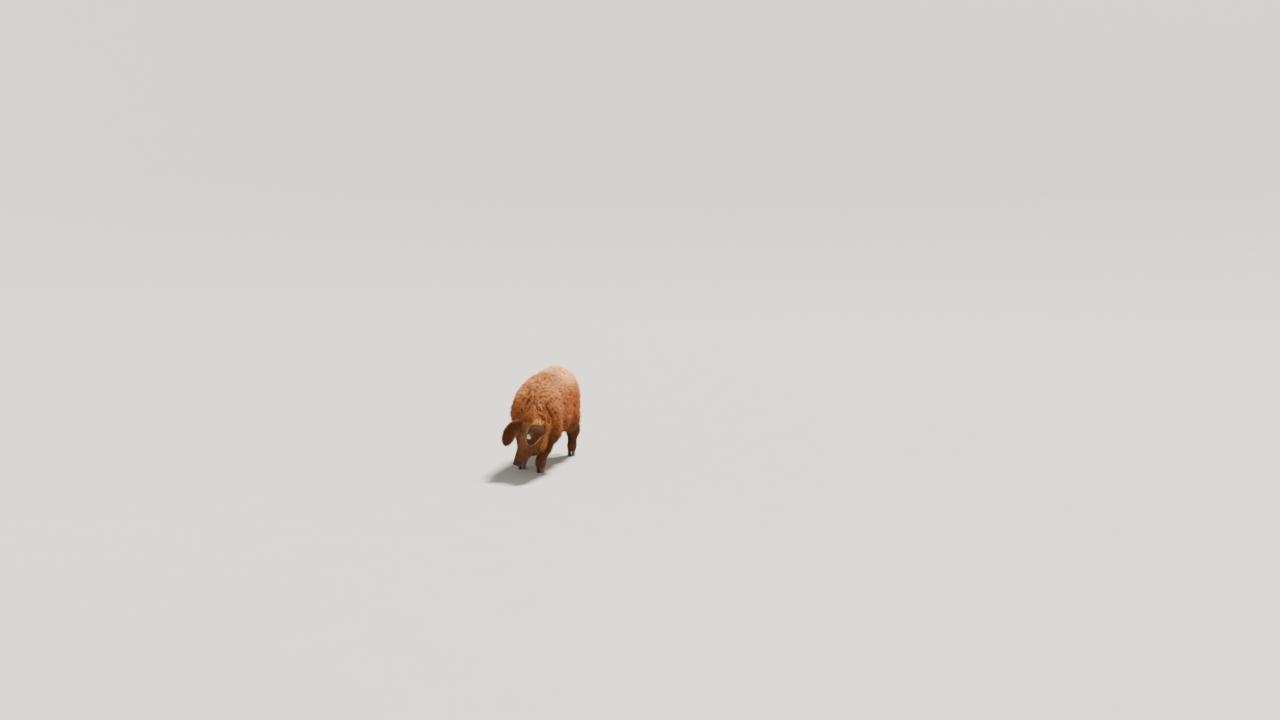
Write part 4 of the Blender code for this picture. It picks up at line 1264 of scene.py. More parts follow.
@dataclass
class Tail:
    """The hanging tail, its stem a tapering tube."""

    body: Body
    root_radius: float = 0.024
    tip_radius: float = 0.010
    rings: int = 48
    sides: int = 20
    bends: tuple[Place, ...] = (
        (0.010, 0.440, 0.612), (0.010, 0.515, 0.610), (0.008, 0.562, 0.572),
        (0.012, 0.582, 0.500), (0.022, 0.580, 0.420), (0.034, 0.572, 0.350),
    )

    def frame_at(self, share: Array) -> tuple[Array, Array, Array, Array]:
        """Finds places along the tail.

        Args:
            share: from 0 at its root to 1 at its tip.

        Returns:
            The places with the ways ahead, across and over the tail.
        """
        line = np.array([(self.body.middle + x, y, z) for x, y, z in self.bends])
        ahead = heading(line, share, 0.01)
        across = flattened(np.tile((1.0, 0, 0), (len(share), 1)), ahead)
        return curve_through(line, share), ahead, across, np.cross(ahead, across)

    def radius(self, share: Array) -> Array:
        """The stem's radius at each share of its length."""
        return self.root_radius + (self.tip_radius - self.root_radius) * share

    def shell(self) -> Shell:
        """The skin of the tail."""
        share = np.linspace(0, 1, self.rings)
        place, _, across, over = self.frame_at(share)
        round_it = swung(turns_of(self.sides), across[:, None], over[:, None])
        radius = self.radius(share) * np.minimum(1, np.sqrt(np.maximum(1 - share**12, 0.01)))
        shell = lofted(place[:, None] + radius[:, None, None] * round_it)
        shell.masks[:, 0] = 0.4
        shell.maps = shell.maps * (0.4, 0.02, 0.02) + (0.5, 0.975, 0.0)
        return shell


@dataclass
class Skin:
    """One skin over the whole pig: trunk, legs, head with its lids and disc, ears and tail."""

    body: Body
    trunk_cell: float = 0.0066
    leg_cell: float = 0.0032
    head_cell: float = 0.0020
    leg_top: float = 0.25
    leg_end: float = 0.0385
    leg_gap: float = 0.004
    overlap: float = 0.010
    wrinkle: float = 0.0125
    eye_wrinkle: float = 0.0046
    trunk_shell: Shell = field(init=False)
    head_shell: Shell = field(init=False)
    leg_shells: dict[str, Shell] = field(init=False)

    def shell(self, points: Array, faces: Array, unwrap: Unwrap) -> Shell:
        """Dresses a stretch of the surface with the markings, painted shade and painted light, and its flat
        map.

        Args:
            points: its points.
            faces: its quads.
            unwrap: what lays it out flat.

        Returns:
            Its shell.
        """
        masks = self.body.masks(points, Shell.outward(points, faces))
        masks = np.concatenate([masks, np.zeros((len(points), 1))], 1)
        # The tone is darker in the neck creases: painted shade.
        tone = MID_TONE - 0.45 * self.body.folds.masks(points)[0]
        return Shell(points, faces, unwrap(points), masks, tone)

    def trunk(self) -> Shell:
        """The skin of the barrel, neck, rump and upper legs, which the wool covers."""
        body, lowest = self.body, self.leg_top - self.overlap

        def of(points: Array) -> Array:
            """How far each point lies outside this stretch of the skin."""
            cut = np.maximum(-body.head_out(points) - self.overlap, lowest - points[:, 2])
            return np.maximum(body.skin(points), cut)

        points, faces = SurfaceNet(self.trunk_cell).mesh(of, (-0.24, -0.66, 0.20), (0.32, 0.56, 0.76))
        return self.shell(points, faces, body.trunk_map((0.0, 0.0, 0.5, 1.0)))

    def leg(self, name: str, number: int) -> Shell:
        """The skin of one leg below the wool, with its number on the flat map."""
        body = self.body
        x, y = body.feet[name]
        side = body.side_of(name)

        def of(points: Array) -> Array:
            """How far each point lies outside this leg's skin."""
            cut = np.maximum(points[:, 2] - self.leg_top, self.leg_end - points[:, 2])
            cut = np.maximum(cut, side * (body.middle + side * self.leg_gap - points[:, 0]))
            return np.maximum(body.skin(points), np.maximum(cut, -body.head_out(points)))

        low, high = (x - 0.15, y - 0.16, 0.03), (x + 0.15, y + 0.22, self.leg_top + 0.02)
        points, faces = SurfaceNet(self.leg_cell).mesh(of, low, high)
        return self.shell(points, faces, body.leg_map(name, (0.5 + 0.125 * number, 0.5, 0.125, 0.25)))

    def head(self) -> Shell:
        """The skin of the head, with the lids, mouth, nostrils and folds in its own surface."""
        body = self.body

        def of(points: Array) -> Array:
            """How far each point lies outside the head's skin."""
            return np.maximum(body.skin(points), body.head_out(points) - self.overlap)

        points, faces = SurfaceNet(self.head_cell).mesh(of, (-0.10, -0.76, 0.04), (0.26, -0.36, 0.48))
        points = self.wrinkled(points, Shell.outward(points, faces))
        return self.shell(points, faces, body.head_map((0.5, 0.0, 0.5, 0.5)))

    def wrinkled(self, points: Array, out: Array) -> Array:
        """Presses fine wrinkles into the bridge of the nose and the skin round the disc and eyes.

        Args:
            points: places on the head.
            out: the way out at each.

        Returns:
            The places moved in or out.
        """
        along, left, up = self.body.head.local(points).T
        disc = smooth_step(0.312, 0.300, along)
        bridge = smooth_step(0.17, 0.21, along) * disc * smooth_step(-0.025, 0.01, up)
        turn = along / self.wrinkle * FULL_TURN + 2.2 * speckle(points, 22.0, 3.0) + np.abs(left) * 60.0
        depth = -0.0010 * bridge * np.maximum(np.sin(turn), 0) ** 2
        rough = 0.0006 * speckle(points, 60.0, 9.0)
        rough = (rough + 0.0012 * speckle(points, 24.0, 5.0) * smooth_step(0.2, 0.05, along)) * disc
        for side in (1, -1):
            reach = away(points, self.body.eyes[side][0])
            ring = smooth_step(0.0165, 0.019, reach) * smooth_step(0.034, 0.024, reach)
            depth = depth - 0.0009 * ring * np.maximum(np.sin(reach / self.eye_wrinkle * FULL_TURN), 0)
            rough = rough * smooth_step(0.012, 0.020, reach)
        return points + out * (depth + rough)[:, None]

    def lid_rims(self) -> list[Shell]:
        """A thin dark rim round the opening of each eye."""
        shells = []
        for side in (1, -1):
            centre, look, along, up = self.body.eye_axes(side)
            turns = turns_of(48)
            lift = np.sin(turns) * np.abs(np.sin(turns)) ** 0.25
            flat = along * (np.cos(turns) * 0.0102)[:, None] + up * (lift * 0.0056)[:, None]
            deep = np.sqrt(np.maximum(0.0126**2 - (flat**2).sum(1), 0))
            shells.append(self.tube(centre + flat + look * deep[:, None], 0.0013, unit(flat), 8))
        return shells

    @staticmethod
    def tube(line: Array, radius: float, across: Array, sides: int) -> Shell:
        """A closed ring of tube along a line.

        Args:
            line: the places it runs through, its last next to its first.
            radius: how thick it is.
            across: a way across it at each place.
            sides: how many sides it has.

        Returns:
            Its shell, in the dark of the face.
        """
        rows = len(line)
        over = np.cross(unit(np.roll(line, -1, 0) - np.roll(line, 1, 0)), across)
        round_it = swung(turns_of(sides), across[:, None], over[:, None])
        points = (line[:, None] + radius * round_it).reshape(-1, 3)
        faces = grid_quads(rows + 1, sides) % (rows * sides)
        row, turn = np.repeat(np.arange(rows), sides) / rows, np.tile(np.arange(sides), rows) / sides
        masks = np.tile((1.0, 0.0, 0.75, 0.0), (len(points), 1))
        maps = 0.97 + 0.02 * np.stack([row, turn], 1)
        return Shell(points, faces, maps, masks, np.full(len(points), MID_TONE))

    def build(self, ears: Ears, tail: Tail, finish: bpy.types.Material) -> None:
        """Joins every part of the skin into one piece.

        Args:
            ears: the ears, whose skin it takes.
            tail: the tail, whose skin it takes.
            finish: the skin's material.
        """
        self.trunk_shell = self.trunk()
        self.leg_shells = {name: self.leg(name, k) for k, name in enumerate(self.body.feet)}
        self.head_shell = self.head()
        shells = [self.trunk_shell, self.head_shell, *self.leg_shells.values()]
        shells += self.lid_rims() + ears.shells()
        nodes = ["head", "neck", "torso", "tail", "snout_disc", "ear_left", "ear_right"]
        nodes += ["leg_" + name for name in self.body.feet]
        make_piece("skin", Shell.joined(shells + [tail.shell()]), finish, Worn.FACE, nodes)


@dataclass(frozen=True)
class Lock:
    """How one kind of lock is made: its length, width and rings, how it stands and how it curls."""

    long: float
    wide: float
    rings: int
    stand: float
    wander: float
    curl: float = 0.0
    turns: float = 0.0
    gather: float = 0.0
    sunk: float = 0.0025
    flat: float = 0.55


@dataclass
class Roots:
    """Where locks grow: places, ways out and along, and how deep the coat is there."""

    points: Array
    out: Array
    lie: Array
    share: Array
    maps: Array

    def only(self, chosen: Array) -> "Roots":
        """Some of the roots."""
        return Roots(*(part[chosen] for part in vars(self).values()))


@dataclass
class Coat:
    """Everything that grows: wool, short fur on face, legs and ears, the tail's tassel and the lashes."""

    body: Body
    skin: Skin
    seed: int = 3
    wool_spacing: float = 0.0080
    fold_spacing: float = 0.0062
    face_spacing: float = 0.0035
    leg_spacing: float = 0.0052
    tuft_spacing: float = 0.024
    head_tuft_spacing: float = 0.016
    folded: float = 0.15
    ear_hairs: int = 4200
    tag_hairs: int = 75
    tail_curls: int = 2100
    made: int = 0

    def __post_init__(self) -> None:
        """Starts the random draws."""
        self.random = np.random.default_rng(self.seed)

    @staticmethod
    def first_of_each(points: Array, spacing: float, shift: Array | float = 0.0) -> Array:
        """The number of the first point in each cube of this spacing that holds any."""
        keys = np.floor(points / spacing + shift).astype(np.int64)
        return np.unique(keys @ np.array((1, 4096, 4096 * 4096)), return_index=True)[1]

    def sown(self, shell: Shell, spacing: float) -> Array:
        """Strews places over a shell, about one to each cube of this spacing.

        Args:
            shell: the surface.
            spacing: the cubes' side.

        Returns:
            The places.
        """
        quads = shell.faces[:, :4]
        corner = shell.points[quads]
        area = 0.5 * np.linalg.norm(facing(corner), axis=1)
        count = int(area.sum() / spacing**2 * 5)
        corner = corner[self.random.choice(len(quads), count, p=area / area.sum())]
        u, v = self.random.random((2, count, 1))
        near = corner[:, 0] * (1 - u) + corner[:, 1] * u
        places = near * (1 - v) + (corner[:, 3] * (1 - u) + corner[:, 2] * u) * v
        return places[self.first_of_each(places, spacing, self.random.random(3))]

    def roots(self, points: Array, unwrap: Unwrap) -> Roots:
        """Finds how the coat stands on the body.

        Args:
            points: places on its skin.
            unwrap: what lays them out flat.

        Returns:
            A root at each place.
        """
        points = points.astype(np.float32)
        out = self.body.slope(self.body.masses, points, 0.006)
        folded = self.body.folds.masks(points)[0] > self.folded
        if folded.any():
            out[folded] = self.body.slope(self.body.skin, points[folded], 0.004)
        lie = flattened(self.body.lie(points), out)
        return Roots(points, out, lie, self.body.coat_height(points), unwrap(points)[:, :2])

    def grown(self, roots: Roots, lock: Lock, size: Array, tuft: Array | None = None) -> Shell:
        """Grows one lock from each root.

        Args:
            roots: where they grow.
            lock: how they are made.
            size: each one's size against the kind's own.
            tuft: the number of the tuft that each belongs to, for locks that gather.

        Returns:
            The locks as one shell, each closed.
        """
        count, draw = len(roots.points), self.random
        group = np.arange(count) if tuft is None else tuft
        groups = int(group.max()) + 1
        yaw = (draw.normal(0, 1, groups) * lock.wander)[group] + draw.normal(0, 0.35, count) * lock.wander
        lie = swung(yaw, roots.lie, np.cross(roots.out, roots.lie))
        side = np.cross(roots.out, lie)
        phase = draw.uniform(0, FULL_TURN, groups)[group] + draw.normal(0, 0.6, count)
        hand = np.where(draw.random(groups) < 0.5, -1, 1)[group]
        stand = np.clip(lock.stand * (1 + 0.25 * draw.normal(0, 1, count)), 0.02, 1.0)
        long = lock.long * size * draw.uniform(0.8, 1.1, count)
        t = np.linspace(0, 1, lock.rings)[:, None, None]
        rise = np.sin(t * 0.5 * math.pi) * stand[None, :, None] * long[None, :, None]
        run = (t**1.25) * np.sqrt(1 - np.minimum(stand, 0.98) ** 2)[None, :, None] * long[None, :, None]
        line = roots.points - roots.out * lock.sunk + roots.out * rise + lie * run
        turn = phase + hand * lock.turns * FULL_TURN * t[..., 0]
        reach = lock.curl * size * np.minimum(1, 2.2 * t[..., 0])
        tilted = roots.out * 0.75 - lie * 0.55
        swing, start = swung(turn, side, tilted), swung(phase, side, tilted)
        line = line + reach[..., None] * (swing - start * (1 - t))
        if lock.gather > 0:
            tips = np.stack([np.bincount(group, line[-1][:, k], groups) for k in range(3)], 1)
            tips = tips / np.maximum(np.bincount(group, minlength=groups), 1)[:, None]
            line = line + (tips[group] - line[-1]) * lock.gather * t**1.5
        return self.spun(roots, line, lock, size)

    def spun(self, roots: Roots, line: Array, lock: Lock, size: Array) -> Shell:
        """Spins a three-sided tapering lock round each line.

        Args:
            roots: where the locks grow.
            line: rings by locks by three, the middle of each lock.
            lock: how they are made.
            size: each one's size.

        Returns:
            The locks' shell.
        """
        rings, count = line.shape[:2]
        ahead = np.empty_like(line)
        ahead[1:-1] = line[2:] - line[:-2]
        ahead[0], ahead[-1] = line[1] - line[0], line[-1] - line[-2]
        ahead = unit(ahead)
        side = flattened(np.cross(roots.out, roots.lie) + 0.0 * line, ahead)
        over = np.cross(ahead, side)
        t = np.linspace(0, 1, rings)
        thick = lock.wide * 0.5 * np.maximum(1 - t, 0) ** 0.6 * (0.8 + 0.4 * np.sin(t * math.pi))
        thick = (thick[:, None] * np.sqrt(size))[:-1, :, None]
        corners = []
        for angle in FULL_TURN * np.arange(3) / 3 + 0.4:
            way = side * math.cos(angle) + over * (math.sin(angle) * lock.flat)
            corners.append(line[:-1] + way[:-1] * thick)
        body = np.stack(corners, 2).transpose(1, 0, 2, 3).reshape(count, -1, 3)
        points = np.concatenate([body, line[-1][:, None]], 1)
        each, faces = points.shape[1], self.lock_faces(rings)
        starts = (np.arange(count) * each)[:, None, None]
        share = np.append(np.repeat(t[:-1], 3), 1.0)
        across = np.append(np.tile(np.arange(3) / 2, rings - 1), 0.5)
        patch = (np.stack([share, across], 1) - 0.5) * LOCK_PATCH
        marks = np.repeat(self.body.masks(roots.points, roots.out), each, axis=0)
        return Shell(
            points.reshape(-1, 3),
            np.where(faces[None] < 0, -1, faces[None] + starts).reshape(-1, 4),
            (roots.maps[:, None] + patch[None]).reshape(-1, 2),
            np.concatenate([marks, np.tile(share, count)[:, None]], 1),
            np.repeat(np.clip(self.tones(roots), 0, 1), each),
        )

    @staticmethod
    def lock_faces(rings: int) -> Array:
        """The faces of one lock: quads along it, triangles at its root and tip."""
        last = (rings - 2) * 3
        faces = [(0, 2, 1, -1), *grid_quads(rings - 1, 3).tolist()]
        return np.array(faces + [(last + k, last + (k + 1) % 3, last + 3, -1) for k in range(3)])

    def tones(self, roots: Roots) -> Array:
        """How light each lock is, drifting over the body, jumping from lock to lock, lighter over the folded
        stretch and darker in the neck creases as painted shade.
        """
        broad = speckle(roots.points, 13.0, 2.0) * 0.5 + speckle(roots.points, 45.0, 4.0) * 0.6
        crease, zone = self.body.folds.masks(roots.points)
        jump = self.random.normal(0, 0.17, len(roots.points))
        # Darker in the neck creases: painted shade; lighter over the folded stretch.
        return MID_TONE + 0.5 * broad - 1.1 * crease + 0.35 * zone + jump

    def tufted(self, roots: Roots, spacing: float) -> Array:
        """Gathers roots into tufts: the number of the nearest tuft for each."""
        kept = self.first_of_each(roots.points, spacing)
        tree = kdtree.KDTree(len(kept))
        for number, place in enumerate(roots.points[kept].tolist()):
            tree.insert(place, number)
        tree.balance()
        return np.array([tree.find(place)[1] for place in roots.points.tolist()])

    def piece(self, name: str, roots: Roots, lock: Lock, size: Array, finish: bpy.types.Material,
              worn: Worn = Worn.COAT, tuft: Array | None = None, paler: Array | None = None) -> None:
        """Grows locks and makes them one piece.

        Args:
            name: the piece's name.
            roots: where the locks grow.
            lock: how they are made.
            size: each one's size.
            finish: their material.
            worn: the record's slot for it.
            tuft: the number of the tuft that each belongs to.
            paler: how much lighter each is made as painted rim light, if some are.
        """
        if tuft is not None:
            _, tuft = np.unique(tuft, return_inverse=True)
        shell = self.grown(roots, lock, size, tuft)
        if paler is not None:
            each = len(shell.points) // len(roots.points)
            shell.masks[:, 1] = np.maximum(shell.masks[:, 1], np.repeat(paler, each))
        self.made += int((shell.faces[:, 3] >= 0).sum() + len(shell.faces))
        make_piece(name, shell, finish, worn)

    def wool(self, finish: bpy.types.Material) -> None:
        """The curly wool of neck, trunk and upper legs, in one piece for each stretch of the body."""
        body, trunk = self.body, self.skin.trunk_shell
        shells = [trunk, *self.skin.leg_shells.values()]
        places = np.concatenate([self.sown(shell, self.wool_spacing) for shell in shells])
        more = self.sown(trunk, self.wool_spacing)
        deep = self.sown(trunk, self.fold_spacing)
        deep = deep[body.folds.masks(deep)[0] > self.folded]
        top = more[(more[:, 1] > 0.05) & (more[:, 2] > 0.58)]
        places = np.concatenate([places, more[more[:, 1] < -0.22][::2], deep, top[::6]])
        places = places[(body.coat_share(places) > 0.16) & (places[:, 2] > 0.15)]
        roots = self.roots(places, body.trunk_map())
        crease, zone = body.folds.masks(roots.points)
        kept = body.skin(roots.points) > -0.003 - 0.006 * zone
        roots, crease = roots.only(kept), crease[kept]
        tuft = self.tufted(roots, self.tuft_spacing)
        over = smooth_step(0.55, 0.95, roots.out[:, 2])
        size = (0.30 + 0.70 * roots.share) * (1 + body.rump(roots.points) * (0.34 * over - 0.12))
        size = size * (1 - 0.55 * crease)
        curl = Lock(0.044, 0.0046, 7, stand=0.58, wander=0.45, curl=0.0042, turns=1.15, gather=0.30)
        x, y, z = roots.points.T
        low, start = z < 0.33, -9.0
        stretches = {}
        bands = {"neck": -0.33, "shoulders": -0.17, "ribs": -0.01, "loins": 0.15, "hips": 0.30, "rump": 9.0}
        for name, end in bands.items():
            here = (y >= start) & (y < end) & ~low
            for word, side in (("left", 1), ("right", -1)):
                stretches[f"{name}_{word}"] = here & ((x - body.middle) * side > 0)
            start = end
        stretches |= {"low_front": low & (y < 0), "low_hind": low & (y >= 0)}
        for name, chosen in stretches.items():
            self.piece("wool_" + name, roots.only(chosen), curl, size[chosen], finish, tuft=tuft[chosen])

    def face_fur(self, finish: bpy.types.Material) -> None:
        """Short fur on the face, longer and curly on the poll, cheeks and jowls."""
        body = self.body
        roots = self.roots(self.sown(self.skin.head_shell, self.face_spacing), body.head_map())
        along = body.head.local(roots.points)[:, 0]
        reach = np.min([away(roots.points, eye[0]) for eye in body.eyes.values()], axis=0)
        clear = (along < 0.300) & (reach > 0.0175) & (body.skin(roots.points + roots.out * 0.004) > 0.002)
        roots = roots.only(clear)
        along, _, up = body.head.local(roots.points).T
        cheek = smooth_step(0.0, 0.06, -up) * smooth_step(0.22, 0.12, along)
        curly = np.maximum(smooth_step(0.07, -0.01, along), cheek)
        curls = Lock(0.030, 0.0036, 6, stand=0.52, wander=0.5, curl=0.0028, turns=0.9, gather=0.3)
        short = Lock(0.0115, 0.0013, 3, stand=0.24, wander=0.28, sunk=0.0004, flat=0.4)
        tuft = smooth_step(0.050, 0.025, away(roots.points, body.poll_tuft))
        sparse = self.random.random(len(along)) < 0.60
        kinds = (((curly > 0.45) & sparse, curls, 0.5, "curls_head"), (curly <= 0.45, short, 1.7, "fur_face"))
        for chosen, lock, longer, name in kinds:
            part = roots.only(chosen)
            size = 0.55 + longer * curly[chosen] + 0.4 * tuft[chosen]
            group = self.tufted(part, self.head_tuft_spacing) if lock.gather > 0 else None
            self.piece(name, part, lock, size, finish, Worn.FACE, group)

    def leg_fur(self, finish: bpy.types.Material) -> None:
        """Short fur on the lower legs, hanging over the tops of the claws."""
        lock = Lock(0.016, 0.0018, 3, stand=0.26, wander=0.30, sunk=0.0005)
        for name, shell in self.skin.leg_shells.items():
            places = self.sown(shell, self.leg_spacing)
            places = places[(places[:, 2] > 0.041) & (places[:, 2] < 0.22)]
            roots = self.roots(places, self.body.leg_map(name))
            height = roots.points[:, 2]
            size = 0.45 + 1.35 * smooth_step(0.07, 0.22, height) + 0.35 * smooth_step(0.062, 0.048, height)
            self.piece("fur_leg_" + name, roots, lock, size, finish)

    def ear_fur(self, ears: Ears, finish: bpy.types.Material) -> None:
        """Fur on the backs and in the hollows of the ears, with a fringe along the rims that is painted
        lighter as rim light.

        Args:
            ears: the ears that it grows on.
            finish: its material.
        """
        lock = Lock(0.016, 0.0015, 3, stand=0.28, wander=0.30, sunk=0.0004)
        count, draw = self.ear_hairs, self.random
        for name in ears.lines:
            share = draw.uniform(0.10, 1.0, count)
            across = draw.uniform(-1, 1, count)
            on_rim = draw.random(count) < 0.22
            across = np.where(on_rim, np.sign(across) * draw.uniform(0.93, 1.0, count), across)
            back = draw.random(count) < 0.72
            over_tag = (np.arange(count) < self.tag_hairs) & (name == "left")
            share = np.where(over_tag, 0.693 + 0.040 * share, share)
            across = np.where(over_tag, -0.25 + 0.16 * across, across)
            back = back | over_tag
            out, down = ears.ways(name, share, across)
            face = np.where(back[:, None], out, -out)
            points = ears.sheet(name, share, across) + face * (ears.thick(share, across) * 0.9)[:, None]
            maps = np.stack([share * 0.98, np.where(back, 0.02, 0.51) + (across + 1) * 0.235], 1)
            lie = unit(down + face * np.where(over_tag, 0.24, 0.0)[:, None])
            size = np.where(back, 1.1, 0.8) * (1.2 - 0.3 * share) * np.where(np.abs(across) > 0.92, 1.35, 1.0)
            size = np.where(over_tag, 2.1, size)
            # Lighter along the rims: painted rim light.
            paler = 0.27 * smooth_step(0.90, 0.95, np.abs(across))
            roots = Roots(points, face, lie, np.ones(count), maps)
            self.piece("fur_ear_" + name, roots, lock, size, finish, Worn.EAR, paler=paler)

    def tassel(self, tail: Tail, finish: bpy.types.Material) -> None:
        """Short curls down the tail's stem and the long hair of its tassel."""
        share = self.random.uniform(0.03, 1.0, self.tail_curls)
        turn = self.random.uniform(0, FULL_TURN, self.tail_curls)
        place, ahead, across, over = tail.frame_at(share)
        out = swung(turn, across, over)
        points = place + out * (tail.radius(share) * 0.9)[:, None]
        maps = np.stack([share, turn / FULL_TURN], 1) * 0.96 + 0.02
        lock = Lock(0.092, 0.0038, 7, stand=0.09, wander=0.14, curl=0.0040, turns=1.4, sunk=0.0006)
        roots = Roots(points, out, ahead, np.ones(len(share)), maps)
        self.piece("tail_tassel", roots, lock, 0.35 + 0.95 * smooth_step(0.45, 0.95, share), finish)

    def lashes(self, finish: bpy.types.Material) -> None:
        """The lashes of each eye."""
        rows = []
        for side in (1, -1):
            centre, look, along, up = self.body.eye_axes(side)
            turns = np.linspace(0.25, math.pi - 0.25, 34)
            flat = swung(turns, along * 0.0106, up * 0.0060)
            out = unit(look * 0.55 + unit(flat) * 0.85)
            down = flattened(unit(np.tile(-up * 0.35 + look, (len(out), 1))), out)
            maps = np.full((len(out), 2), 0.5)
            rows.append((centre + flat + look * 0.0108, out, down, np.ones(len(out)), maps))
        roots = Roots(*(np.concatenate(part) for part in zip(*rows)))
        lock = Lock(0.013, 0.0009, 5, stand=0.80, wander=0.15, curl=0.0003, turns=0.3)
        self.piece("lashes", roots, lock, np.ones(len(roots.points)), finish, Worn.FACE)


@dataclass
class Eyes:
    """The two eyeballs, their iris and pupil facing the way they look."""

    body: Body
    rings: int = 32
    sides: int = 48
    bulge: float = 0.05
    iris_scale: float = 1.6
    map_scale: float = 0.15

    def build(self, finish: bpy.types.Material) -> None:
        """Makes both eyes."""
        polar, turns = np.linspace(0, math.pi, self.rings + 1)[1:-1], turns_of(self.sides)
        ahead = (np.cos(polar) * (1 + self.bulge * smooth_step(0.75, 0.35, polar)))[:, None, None]
        from_front = np.append(np.repeat(polar, self.sides), [0.0, math.pi])
        round_it = np.append(np.tile(turns, len(polar)), [0.0, 0.0])
        flat = np.stack([np.cos(round_it), np.sin(round_it)], 1)
        for side, word in ((1, "left"), (-1, "right")):
            centre, look, along, up = self.body.eye_axes(side)
            ball = np.sin(polar)[:, None, None] * swung(turns, along, up * side) + ahead * look
            shell = lofted(ball * self.body.eye_radius + centre)
            ends = np.array((look * (1 + self.bulge), -look))
            shell.points[-2:] = ends * self.body.eye_radius + centre
            shell.maps = 0.5 + self.map_scale * from_front[:, None] * flat
            shell.tone = from_front / math.pi * self.iris_scale
            make_piece("eyeball_" + word, shell, finish, Worn.EYE, ["eye_" + word])


@dataclass
class Claws:
    """The eight claws that the pig stands on and the eight small ones behind them."""

    body: Body
    half: float = 0.0142
    apart: float = 0.0168
    coronet: float = 0.0435
    sides: int = 40

    def build(self, finish: bpy.types.Material) -> None:
        """Makes every claw as a piece of its own."""
        for foot in self.body.feet:
            for sign, word in ((1, "outer"), (-1, "inner")):
                side, name = sign * self.body.side_of(foot), f"{foot}_{word}"
                make_piece("claw_" + name, self.claw(foot, side), finish, Worn.HORN, ["hoof_" + name])
                shell = self.dewclaw(foot, side)
                make_piece("small_claw_" + name, shell, finish, Worn.HORN, ["dewclaw_" + name])

    def claw(self, foot: str, side: int) -> Shell:
        """One cloven claw: a flat sole with a rounded edge, a ringed sloping wall, and a soft top.

        Args:
            foot: the foot's name.
            side: 1 where it lies towards the pig's left, -1 towards its right.

        Returns:
            Its shell.
        """
        x, y = self.body.feet[foot]
        rings = [(0.0, -0.010, 0.0300, 0.90), (0.0, -0.010, 0.0322, 0.97), (0.0015, -0.010, 0.0330, 1.0)]
        for height in np.linspace(0.005, self.coronet - 0.004, 12):
            share = height / self.coronet
            ring = 0.0003 * math.sin(height * 1500)
            long, wide = 0.0334 - 0.0060 * share**1.2 + ring, 1.04 - 0.11 * share**1.4 + ring * 20
            rings.append((height, -0.010 + 0.008 * share, long, wide))
        rings += [(self.coronet, -0.002, 0.0255, 0.82), (self.coronet + 0.002, -0.002, 0.017, 0.50)]
        turns = turns_of(self.sides)
        ahead = np.cos(turns)
        front = np.maximum(0.0, ahead)
        points = []
        for height, centre, long, wide in rings:
            across = np.sin(turns) * self.half * wide * (1 - 0.5 * front**1.6) - side * 0.004 * front
            place = (x + side * self.apart + across, y + centre - ahead * long, np.full(len(turns), height))
            points.append(np.stack(place, 1))
        return lofted(np.array(points))

    def dewclaw(self, foot: str, side: int) -> Shell:
        """One small claw behind the pastern, pointing down and back.

        Args:
            foot: the foot's name.
            side: 1 where it lies towards the pig's left, -1 towards its right.

        Returns:
            Its shell.
        """
        x, y = self.body.feet[foot]
        y += 0.0 if foot.startswith("front") else 0.006
        start, end = np.array(((x + side * 0.017, y + 0.022, 0.082), (x + side * 0.022, y + 0.058, 0.050)))
        across = np.array((1.0, 0, 0))
        up = unit(np.cross(across, unit(end - start))) * 0.85
        ring = swung(turns_of(self.sides), across, up)
        points = []
        for share in np.linspace(0, 1, 16):
            radius = 0.0085 + 0.0020 * math.sin(min(share / 0.45, 1) * math.pi / 2)
            radius *= math.sqrt(max(1 - max(0.0, (share - 0.45) / 0.55) ** 2.2, 0.02))
            radius *= 1 + 0.015 * math.sin(share * 50)
            points.append(start + (end - start) * share + ring * radius)
        return lofted(np.array(points))


@dataclass
class EarTag:
    """The blank tag in the left ear: a rounded plate, a stem and a button behind.

    A row of the plate or stem is its height out of the ear with its scale or radius there.
    """

    ears: Ears
    at: tuple[float, float] = (0.78, -0.45)
    hangs: float = 0.009
    half_long: float = 0.018
    half_wide: float = 0.015
    plate: tuple[tuple[float, float], ...] = (
        (0.0080, 0.55), (0.0080, 0.94), (0.0084, 0.99), (0.0096, 1.0), (0.0101, 0.96), (0.0101, 0.55),
    )
    stem: tuple[tuple[float, float], ...] = (
        (-0.0102, 0.0045), (-0.0102, 0.0074), (-0.0096, 0.0080), (-0.0084, 0.0080), (-0.0078, 0.0072),
        (-0.0070, 0.0036), (-0.0060, 0.0024), (0.0070, 0.0024), (0.0076, 0.0042), (0.0104, 0.0046),
        (0.0112, 0.0040), (0.0114, 0.0020),
    )

    def build(self, finish: bpy.types.Material) -> None:
        """Makes the tag as one piece."""
        share, across = (np.array([v]) for v in self.at)
        middle = self.ears.sheet("left", share, across)[0]
        out, down = (way[0] for way in self.ears.ways("left", share, across))
        down = flattened(down, out)
        over = np.cross(out, down)
        turns = turns_of(64)
        a, b = (np.sign(wave) * np.abs(wave) ** 0.5 for wave in (np.cos(turns), np.sin(turns)))
        plate = []
        for height, scale in self.plate:
            along, aside = self.hangs + self.half_long * a * scale, self.half_wide * b * scale
            plate.append(middle + out * height + down * along[:, None] + over * aside[:, None])
        ring = swung(turns, down, over)
        stem = [middle + out * height + ring * radius for height, radius in self.stem]
        tag = Shell.joined([lofted(np.array(plate)), lofted(np.array(stem))])
        make_piece("tag_blank", tag, finish, Worn.TAG, ["ear_tag"])


